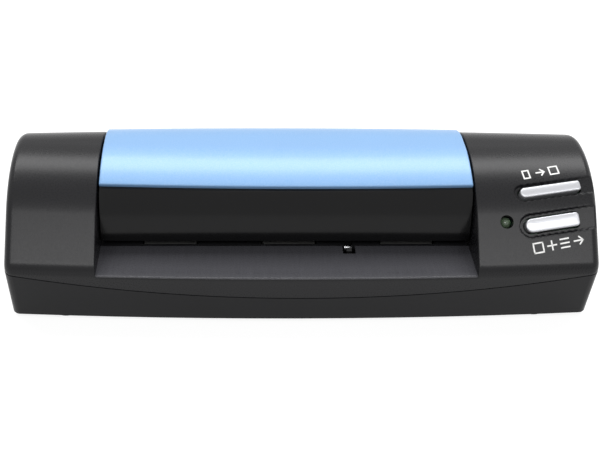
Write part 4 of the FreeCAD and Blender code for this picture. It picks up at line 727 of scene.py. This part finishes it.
def cut_out(item, cutters):
    """Takes closed cutter meshes, given as points and faces in millimetres, out of a piece."""
    for points, faces in cutters:
        tool = into_scene("cutter", welded_mesh("cutter", points, faces))
        modifier = item.modifiers.new("cut", "BOOLEAN")
        modifier.operation = "DIFFERENCE"
        modifier.solver = "EXACT"
        modifier.object = tool
        cut = bpy.data.meshes.new_from_object(item.evaluated_get(bpy.context.evaluated_depsgraph_get()))
        item.modifiers.clear()
        item.data = cut
        bpy.data.objects.remove(tool)


def box_mesh(low, high):
    """Closed box between two corners."""
    corners = np.array([[(low, high)[axis >> place & 1][place] for place in range(3)] for axis in range(8)])
    return corners, [(0, 2, 3, 1), (4, 5, 7, 6), (0, 1, 5, 4), (2, 6, 7, 3), (0, 4, 6, 2), (1, 3, 7, 5)]


def rod_mesh(radius, span, spot, columns=32):
    """Closed cylinder along X between two places."""
    turn = np.linspace(0, 2 * math.pi, columns, endpoint=False)
    x = np.array([span[0], span[0], span[1], span[1]])[:, None] + 0 * turn
    share = np.array([0, 1, 1, 0])[:, None] * radius
    points = np.stack([x, spot[0] + share * np.cos(turn), spot[1] + share * np.sin(turn)], -1)
    return points.reshape(-1, 3), grid_faces(4, columns, close_columns=True)


def bar_faces(rings, columns):
    """Faces of a bar: closed rings along it and a flat cap on each end."""
    last = (rings - 1) * columns
    sides = grid_faces(rings, columns, close_columns=True).tolist()
    return [*sides, list(range(columns))[::-1], [last + column for column in range(columns)]]


def bar_mesh(x, y, z):
    """Points and faces of a bar whose closed rings have one row each."""
    return np.stack([np.broadcast_to(x, y.shape), y, z], -1).reshape(-1, 3), bar_faces(*y.shape)


def sill_points(span):
    """Front sill and card shelf: at each x a closed ring goes up the leaning skirt, round the lip by a
    quarter circle, back along the shelf, down its rear edge and home under it and behind the skirt."""
    sizes, form = form_values()
    depth, lip = form.depth, sizes.lip_radius
    x = np.linspace(*span, 60)[:, None]
    low = seam_height(x)
    top = sizes.shelf_height - lip
    foot = sizes.shelf_height - sizes.shelf_thickness
    skirt = low + (top - low) * np.linspace(0, 1, 10)
    turn = np.linspace(0, math.pi / 2, 8)[1:]
    back = low + (foot - low) * np.linspace(1, 0, 5)
    front = -depth + form.lean * (sizes.nose_height - top)
    middle = np.zeros_like(x)
    start, rear = front + lip, sizes.shelf_rear
    shelf = np.linspace(start, rear, 8)[1:]
    bowed_start = bowed(start, x, True)
    y = np.concatenate([
        bowed(-depth + form.lean * (sizes.nose_height - skirt), x, True),
        bowed(front + lip * (1 - np.cos(turn)) + middle, x, True),
        bowed_start + (shelf - start) * (rear - bowed_start) / (rear - start),
        rear + middle,
        bowed(-depth + sizes.wall + form.lean * (sizes.nose_height - back), x, True),
    ], 1)
    z = np.concatenate([skirt, top + lip * np.sin(turn) + middle, sizes.shelf_height + 0 * shelf + middle,
                        foot + middle, back], 1)
    return bar_mesh(x, y, z)


def rail_points(span):
    """Rear wall: at each x a closed ring goes up the straight wall and a stretch of the back's circle to the
    rail, over its rounded top, and down again inside by the wall."""
    sizes, form = form_values()
    depth = form.depth
    x = np.linspace(*span, 60)[:, None]
    low = seam_height(x)
    shoulder, soft = form.shoulder, sizes.throat_edge
    middle = np.zeros_like(x)
    walls = []
    for inset in (0, sizes.wall):
        radius = sizes.back_radius - inset
        rise = math.asin((sizes.rail_height - soft * (inset == 0) - shoulder) / radius)
        turn = np.linspace(0, rise, 8)[1:]
        straight = low + (shoulder - low) * np.linspace(0, 1, 8)
        curved = depth - sizes.back_radius + radius * np.cos(turn) + middle
        y = np.concatenate([depth - inset + 0 * straight, curved], 1)
        z = np.concatenate([straight, shoulder + radius * np.sin(turn) + middle], 1)
        walls.append((y, z))
    (outer_y, outer_z), (inner_y, inner_z) = walls
    turn = np.linspace(0, math.pi / 2, 6)[1:]
    lip_y = outer_y[:, -1:] - soft * (1 - np.cos(turn)) - sizes.rail_lean * np.sin(turn)
    lip_z = outer_z[:, -1:] + soft * np.sin(turn)
    y = bowed(np.concatenate([outer_y, lip_y, inner_y[:, ::-1]], 1), x, False)
    z = np.concatenate([outer_z, lip_z, inner_z[:, ::-1]], 1)
    return bar_mesh(x, y, z)


class SCANNER_OT_materials(bpy.types.Operator):
    """Make the materials and give every CAD node its finish"""

    bl_idname = "scanner.materials"
    bl_label = "Materials"

    def execute(self, context):
        make_materials(context.scene.scanner_finishes)
        for finish, nodes in FINISH_NODES.items():
            for node in nodes:
                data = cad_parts[node].data
                data.materials.clear()
                data.materials.append(MATERIALS[finish])
        return {"FINISHED"}


# Distances between the panel's points in millimetres, and how far its underside clears the shell
PANEL_STEP_X = 2.0
PANEL_STEP_UP = 0.6
PANEL_LIFT = 0.05


class SCANNER_OT_panel(bpy.types.Operator):
    """Blue panel of the cover, a curved plate with soft edges"""

    bl_idname = "scanner.panel"
    bl_label = "Blue panel"

    def execute(self, context):
        sizes = context.scene.scanner_form
        edge, proud = sizes.panel_edge, sizes.panel_proud
        us = spread(PANEL_LOW[0], PANEL_HIGH[0], edge, PANEL_STEP_X)
        foot = along_at(sizes.bar_head_y + sizes.panel_gap)
        vs = spread(foot, along_at(PANEL_HIGH[1]), edge, PANEL_STEP_UP)
        points, faces = slab(us, vs, lambda x, along, depth: roof_place(x, along, depth - proud),
                             sizes.panel_thickness - PANEL_LIFT, edge)
        piece("blue_panel", points, faces, "blue_lacquer", "cover", ["cover_panel"], "cover_panel")
        return {"FINISHED"}


# Distances between points of the housings, and how far up the roof the close ones go, in millimetres
PLAIN_STEP = 1.5
GROOVE_STEP = 0.22
GROOVED_LENGTH = 38
# Angle in degrees from which an edge of the housings is sharp
HOUSING_SHARP = 50
# Half length of the cutter for the lamp's hole, and from where to where in Y the exit slot is cut
DRILL_REACH = 6
EXIT_CUT = (20, 40)


class SCANNER_OT_housing(bpy.types.Operator):
    """Upper casing: both end housings, the card shelf and the rear wall"""

    bl_idname = "scanner.housing"
    bl_label = "Upper casing"

    def execute(self, context):
        sizes = context.scene.scanner_form
        keys = context.scene.scanner_buttons
        left, right = throat_walls()
        coarse = {"skirt": 8, "nose": 10, "roof": np.linspace(0, roof_length(), 120), "rear": 8}
        front = np.arange(0, GROOVED_LENGTH, GROOVE_STEP)
        fine = dict(coarse, roof=np.concatenate([front, np.linspace(GROOVED_LENGTH, roof_length(), 40)]))
        grooves, holes = [], []
        gap = 2 * keys.key_gap
        widths = (keys.scan_groove, keys.custom_groove)
        for (x, up, length, width), groove in zip(button_places().values(), widths):
            place = slope_frame(x, up, keys.slant)
            grooves.append((place, length, groove, keys.groove_lead, keys.groove_depth, keys.groove_soft))
            hole = key_shape(length + gap, width + gap, keys.hole_edge, keys.depth * 2, keys.depth)
            holes.append((hole[0] @ place[1].T + place[0], hole[1]))
        lamp_spot, lamp_turn = slope_frame(keys.lamp_x, keys.lamp_up, 0)
        drill = rod_mesh(keys.lamp_hole, (-DRILL_REACH, DRILL_REACH), (0, 0))
        holes.append((drill[0][:, [1, 2, 0]] @ lamp_turn.T + lamp_spot, drill[1]))
        casing = {"body": "base", "replaced": ["upper_casing"], "slot": "upper_casing"}
        ends = {"left_housing": (housing_points(-1, left, PLAIN_STEP, coarse), shaft_notches(left)),
                "right_housing": (housing_points(1, right, GROOVE_STEP, fine, grooves),
                                  holes + shaft_notches(right))}
        for name, (housing, cutters) in ends.items():
            item = piece(name, *housing, "charcoal_abs", angle=HOUSING_SHARP, **casing)
            cut_out(item, cutters)
            item.data.set_sharp_from_angle(angle=math.radians(HOUSING_SHARP))
        # Card shelf, whose material paints a highlight on its top
        item = piece("card_shelf", *sill_points((left, right)), "rubbed_abs", **casing)
        lever_low, lever_high = node_box("card_sensor_lever")
        gap, travel = sizes.lever_gap, sizes.lever_travel
        cut_out(item, [box_mesh(lever_low - (gap, gap, travel), lever_high + (gap, travel, travel))])
        item = piece("rear_wall", *rail_points((left, right)), "charcoal_abs", **casing)
        slot_low = np.array([left + sizes.exit_inset, EXIT_CUT[0], sizes.shelf_height])
        slot_high = np.array([right - sizes.exit_inset, EXIT_CUT[1], sizes.shelf_height + sizes.exit_height])
        cut_out(item, [box_mesh(slot_low, slot_high)])
        return {"FINISHED"}


def shaft_notches(throat):
    """Cutters for the notches, round above and open below, where the roller shafts cross a throat wall."""
    sizes = bpy.context.scene.scanner_form
    cutters = []
    span = (throat - 2 * sizes.wall, throat + 2 * sizes.wall)
    for name in ("feed_shaft", "exit_shaft"):
        low, high = node_box(name)
        y, z = (low[1] + high[1]) / 2, (low[2] + high[2]) / 2
        reach = sizes.notch_radius
        cutters.append(rod_mesh(reach, span, (y, z)))
        cutters.append(box_mesh(np.array([span[0], y - reach, 0.0]), np.array([span[1], y + reach, z])))
    return cutters


def throat_walls():
    """Where the housings' inner walls stand, a side gap out from the cover."""
    gap = bpy.context.scene.scanner_form.cover_gap
    return COVER_LOW[0] - gap, COVER_HIGH[0] + gap


def roof_length():
    """Length of the roof's profile from the foot of the slope to the end of the back's circle."""
    sizes, form = form_values()
    return form.back_at + sizes.back_radius * math.pi / 2


# Dot of a key: its place from the left end as a share of the width, and its lift and height in millimetres
DOT_PLACE = 0.55
DOT_LIFT = 0.02
DOT_HEIGHT = 0.06


class SCANNER_OT_buttons(bpy.types.Operator):
    """Two silver push keys with soft edges and a small dark dot near the left end"""

    bl_idname = "scanner.buttons"
    bl_label = "Buttons"

    def execute(self, context):
        keys = context.scene.scanner_buttons
        for key, (x, up, length, width) in button_places().items():
            spot, turn = slope_frame(x, up, keys.slant)
            shape = key_shape(length, width, keys.edge, keys.depth, keys.proud)
            piece(key + "_key", shape[0] @ turn.T + spot, shape[1], "silver_paint", key + "_key",
                  [key + "_button"], "button")
            centre = (width * DOT_PLACE - length / 2, 0, keys.proud + DOT_LIFT)
            points, faces = dome(centre, keys.dot_radius, DOT_HEIGHT)
            piece(key + "_dot", points @ turn.T + spot, faces, "black_ink", key + "_key")
        return {"FINISHED"}


# Outlines of the printed pictograms, as lines between corners in a square of one unit
PAGE = [((0, 0), (0.7, 0)), ((0.7, 0), (0.7, 1)), ((0.7, 1), (0, 1)), ((0, 1), (0, 0))]
ARROW = [((0, 0.5), (0.9, 0.5)), ((0.55, 0.88), (0.92, 0.5)), ((0.55, 0.12), (0.92, 0.5))]
LINES = [((0, 0.06), (0.85, 0.06)), ((0, 0.5), (0.85, 0.5)), ((0, 0.94), (0.85, 0.94))]
PLUS = [((0.05, 0.5), (0.95, 0.5)), ((0.5, 0.05), (0.5, 0.95))]
FRAME = [((0, 0), (1, 0)), ((1, 0), (1, 1)), ((1, 1), (0, 1)), ((0, 1), (0, 0))]


UPPER_SIGNS = (PAGE, ARROW, FRAME)
LOWER_SIGNS = (FRAME, PLUS, LINES, ARROW)
# Heights of the pictograms, their pitch, and how far the ink stands out of and goes into the roof
UPPER_SIZE = 2.5
LOWER_SIZE = 2.7
MARK_PITCH = 3.9
INK_PROUD = 0.03
INK_SUNK = 0.06


class SCANNER_OT_marks(bpy.types.Operator):
    """Printed pictograms above the upper button and below the lower one"""

    bl_idname = "scanner.marks"
    bl_label = "Printed marks"

    def execute(self, context):
        keys = context.scene.scanner_buttons
        rows = {"upper_marks": (keys.upper_mark_x, keys.upper_mark_up, UPPER_SIGNS, UPPER_SIZE),
                "lower_marks": (keys.lower_mark_x, keys.lower_mark_up, LOWER_SIGNS, LOWER_SIZE)}
        for name, (x, up, signs, size) in rows.items():
            strips = []
            for place, sign in enumerate(signs):
                shift = np.array([place * MARK_PITCH, 0.0])
                strips += [stroke(shift + np.array(start) * size, shift + np.array(end) * size, keys.stroke)
                           for start, end in sign]
            points, faces = printed(x, up, keys.slant, strips, INK_PROUD, INK_SUNK)
            piece(name, points, faces, "white_ink", "base")
        return {"FINISHED"}


def button_places():
    """Place along the body, distance up the slope, length and width of each button, by its name."""
    keys = bpy.context.scene.scanner_buttons
    sizes, form = form_values()
    scan_up = form.straight + sizes.brow_radius * (form.slope - math.radians(keys.scan_slope))
    return {"scan": (keys.scan_x, scan_up, keys.scan_length, keys.scan_width),
            "custom": (keys.custom_x, keys.custom_up, keys.custom_length, keys.custom_width)}


# Stage in metres, with azimuth and elevation in degrees and power in watts
FLOOR_REACH = 4.0
FLOOR_GLOW = 0.8
TARGET_HEIGHT = 0.02
LAMP_DISTANCE = 0.9
LAMP_WIDTH = 1.3
LAMPS = {
    "overhead_lamp": {"azimuth": 180, "elevation": 66, "height": 0.3, "watts": 9.0},
    "front_lamp": {"azimuth": 0, "elevation": 46, "height": 0.2, "watts": 5.0},
}
SKY_STRENGTH = 0.28
# Camera: lens and place in millimetres, shift as a share of the picture, angles in degrees
CAMERA_LENS = 57.5
CAMERA_SHIFT = 0.055
CAMERA_PLACE = (-18.3, -230.0, 183.3)
CAMERA_DIP = 36.0
CAMERA_YAW = -1.73


class SCANNER_OT_stage(bpy.types.Operator):
    """Pale floor, soft lamps and the camera"""

    bl_idname = "scanner.stage"
    bl_label = "Stage"

    def execute(self, context):
        make_floor()
        make_lights()
        make_camera()
        context.scene.view_settings.view_transform = "Standard"
        return {"FINISHED"}


def make_floor():
    """Large pale floor that looks white to the camera and keeps the object's shadow."""
    tree, shader = surface("white_floor", Roughness=0.9)
    shader.inputs["Specular IOR Level"].default_value = 0.1
    paint = grain(tree, 60.0)
    join(tree, shader, Base_Color=blended(tree, paint, linear("#9C9C9C"), linear("#A4A4A4")))
    glow = add(tree, "ShaderNodeEmission", {"Color": (1, 1, 1, 1), "Strength": FLOOR_GLOW})
    both = add(tree, "ShaderNodeAddShader", {0: shader.outputs[0], 1: glow.outputs[0]})
    show_seen(tree, shader, both, "Material Output")
    reach = FLOOR_REACH
    mesh = bpy.data.meshes.new("floor")
    corners = [(-reach, -reach, 0), (reach, -reach, 0), (reach, reach, 0), (-reach, reach, 0)]
    mesh.from_pydata(corners, [], [(0, 1, 2, 3)])
    mesh.materials.append(MATERIALS["white_floor"])
    into_scene("floor", mesh)


def softbox(name, azimuth, elevation, height, watts):
    """Area lamp that looks at the object from an azimuth and an elevation in degrees."""
    data = bpy.data.lights.new(name, "AREA")
    data.shape = "RECTANGLE"
    data.size = LAMP_WIDTH
    data.size_y = height
    data.energy = watts
    turn, rise = math.radians(azimuth), math.radians(elevation)
    away = Vector((math.sin(turn) * math.cos(rise), -math.cos(turn) * math.cos(rise), math.sin(rise)))
    item = into_scene(name, data)
    item.location = Vector((0, 0, TARGET_HEIGHT)) + away * LAMP_DISTANCE
    item.rotation_euler = (-away).to_track_quat("-Z", "Y").to_euler()


def make_lights():
    """Overhead softbox behind the upright, a front one, and a pale world."""
    for name, values in LAMPS.items():
        softbox(name, **values)
    world = bpy.data.worlds.new("studio")
    bpy.context.scene.world = world
    world.use_nodes = True
    tree = world.node_tree
    sky = tree.nodes["Background"]
    sky.inputs["Color"].default_value = (1, 1, 1, 1)
    sky.inputs["Strength"].default_value = SKY_STRENGTH
    white = add(tree, "ShaderNodeBackground", {"Color": (1, 1, 1, 1), "Strength": 1.0})
    show_seen(tree, sky, white, "World Output")


def make_camera():
    """Camera above and in front of the object, turned slightly to the right."""
    data = bpy.data.cameras.new("camera")
    data.lens = CAMERA_LENS
    data.shift_x = CAMERA_SHIFT
    data.clip_start = 10 * MM
    item = into_scene("camera", data)
    item.location = Vector(CAMERA_PLACE) * MM
    pitch = Matrix.Rotation(math.radians(90 - CAMERA_DIP), 4, "X")
    yaw = Matrix.Rotation(math.radians(CAMERA_YAW), 4, "Y")
    item.rotation_euler = (pitch @ yaw).to_euler()
    bpy.context.scene.camera = item


class SCANNER_PT_panel(bpy.types.Panel):
    """Buttons for each step"""

    bl_idname = "SCANNER_PT_panel"
    bl_label = "Card Scanner"
    bl_space_type = "VIEW_3D"
    bl_region_type = "UI"
    bl_category = "Card Scanner"

    def draw(self, context):
        for step in STEPS:
            self.layout.operator(step.bl_idname)


STEPS = (SCANNER_OT_materials, SCANNER_OT_housing, SCANNER_OT_panel, SCANNER_OT_buttons, SCANNER_OT_marks,
         SCANNER_OT_stage)
GROUPS = {"scanner_form": FormSizes, "scanner_buttons": ButtonSizes, "scanner_finishes": Finishes}


def register():
    """Registers the classes and hangs the sizes on the scene."""
    for item in (*GROUPS.values(), *STEPS, SCANNER_PT_panel):
        bpy.utils.register_class(item)
    for name, group in GROUPS.items():
        setattr(bpy.types.Scene, name, PointerProperty(type=group))


def unregister():
    """Takes the classes and the sizes away."""
    for name in GROUPS:
        delattr(bpy.types.Scene, name)
    for item in (*GROUPS.values(), *STEPS, SCANNER_PT_panel):
        bpy.utils.unregister_class(item)


def main():
    """Runs every step in order."""
    register()
    for step in STEPS:
        group, name = step.bl_idname.split(".")
        getattr(getattr(bpy.ops, group), name)()


if __name__ == "__main__":
    main()
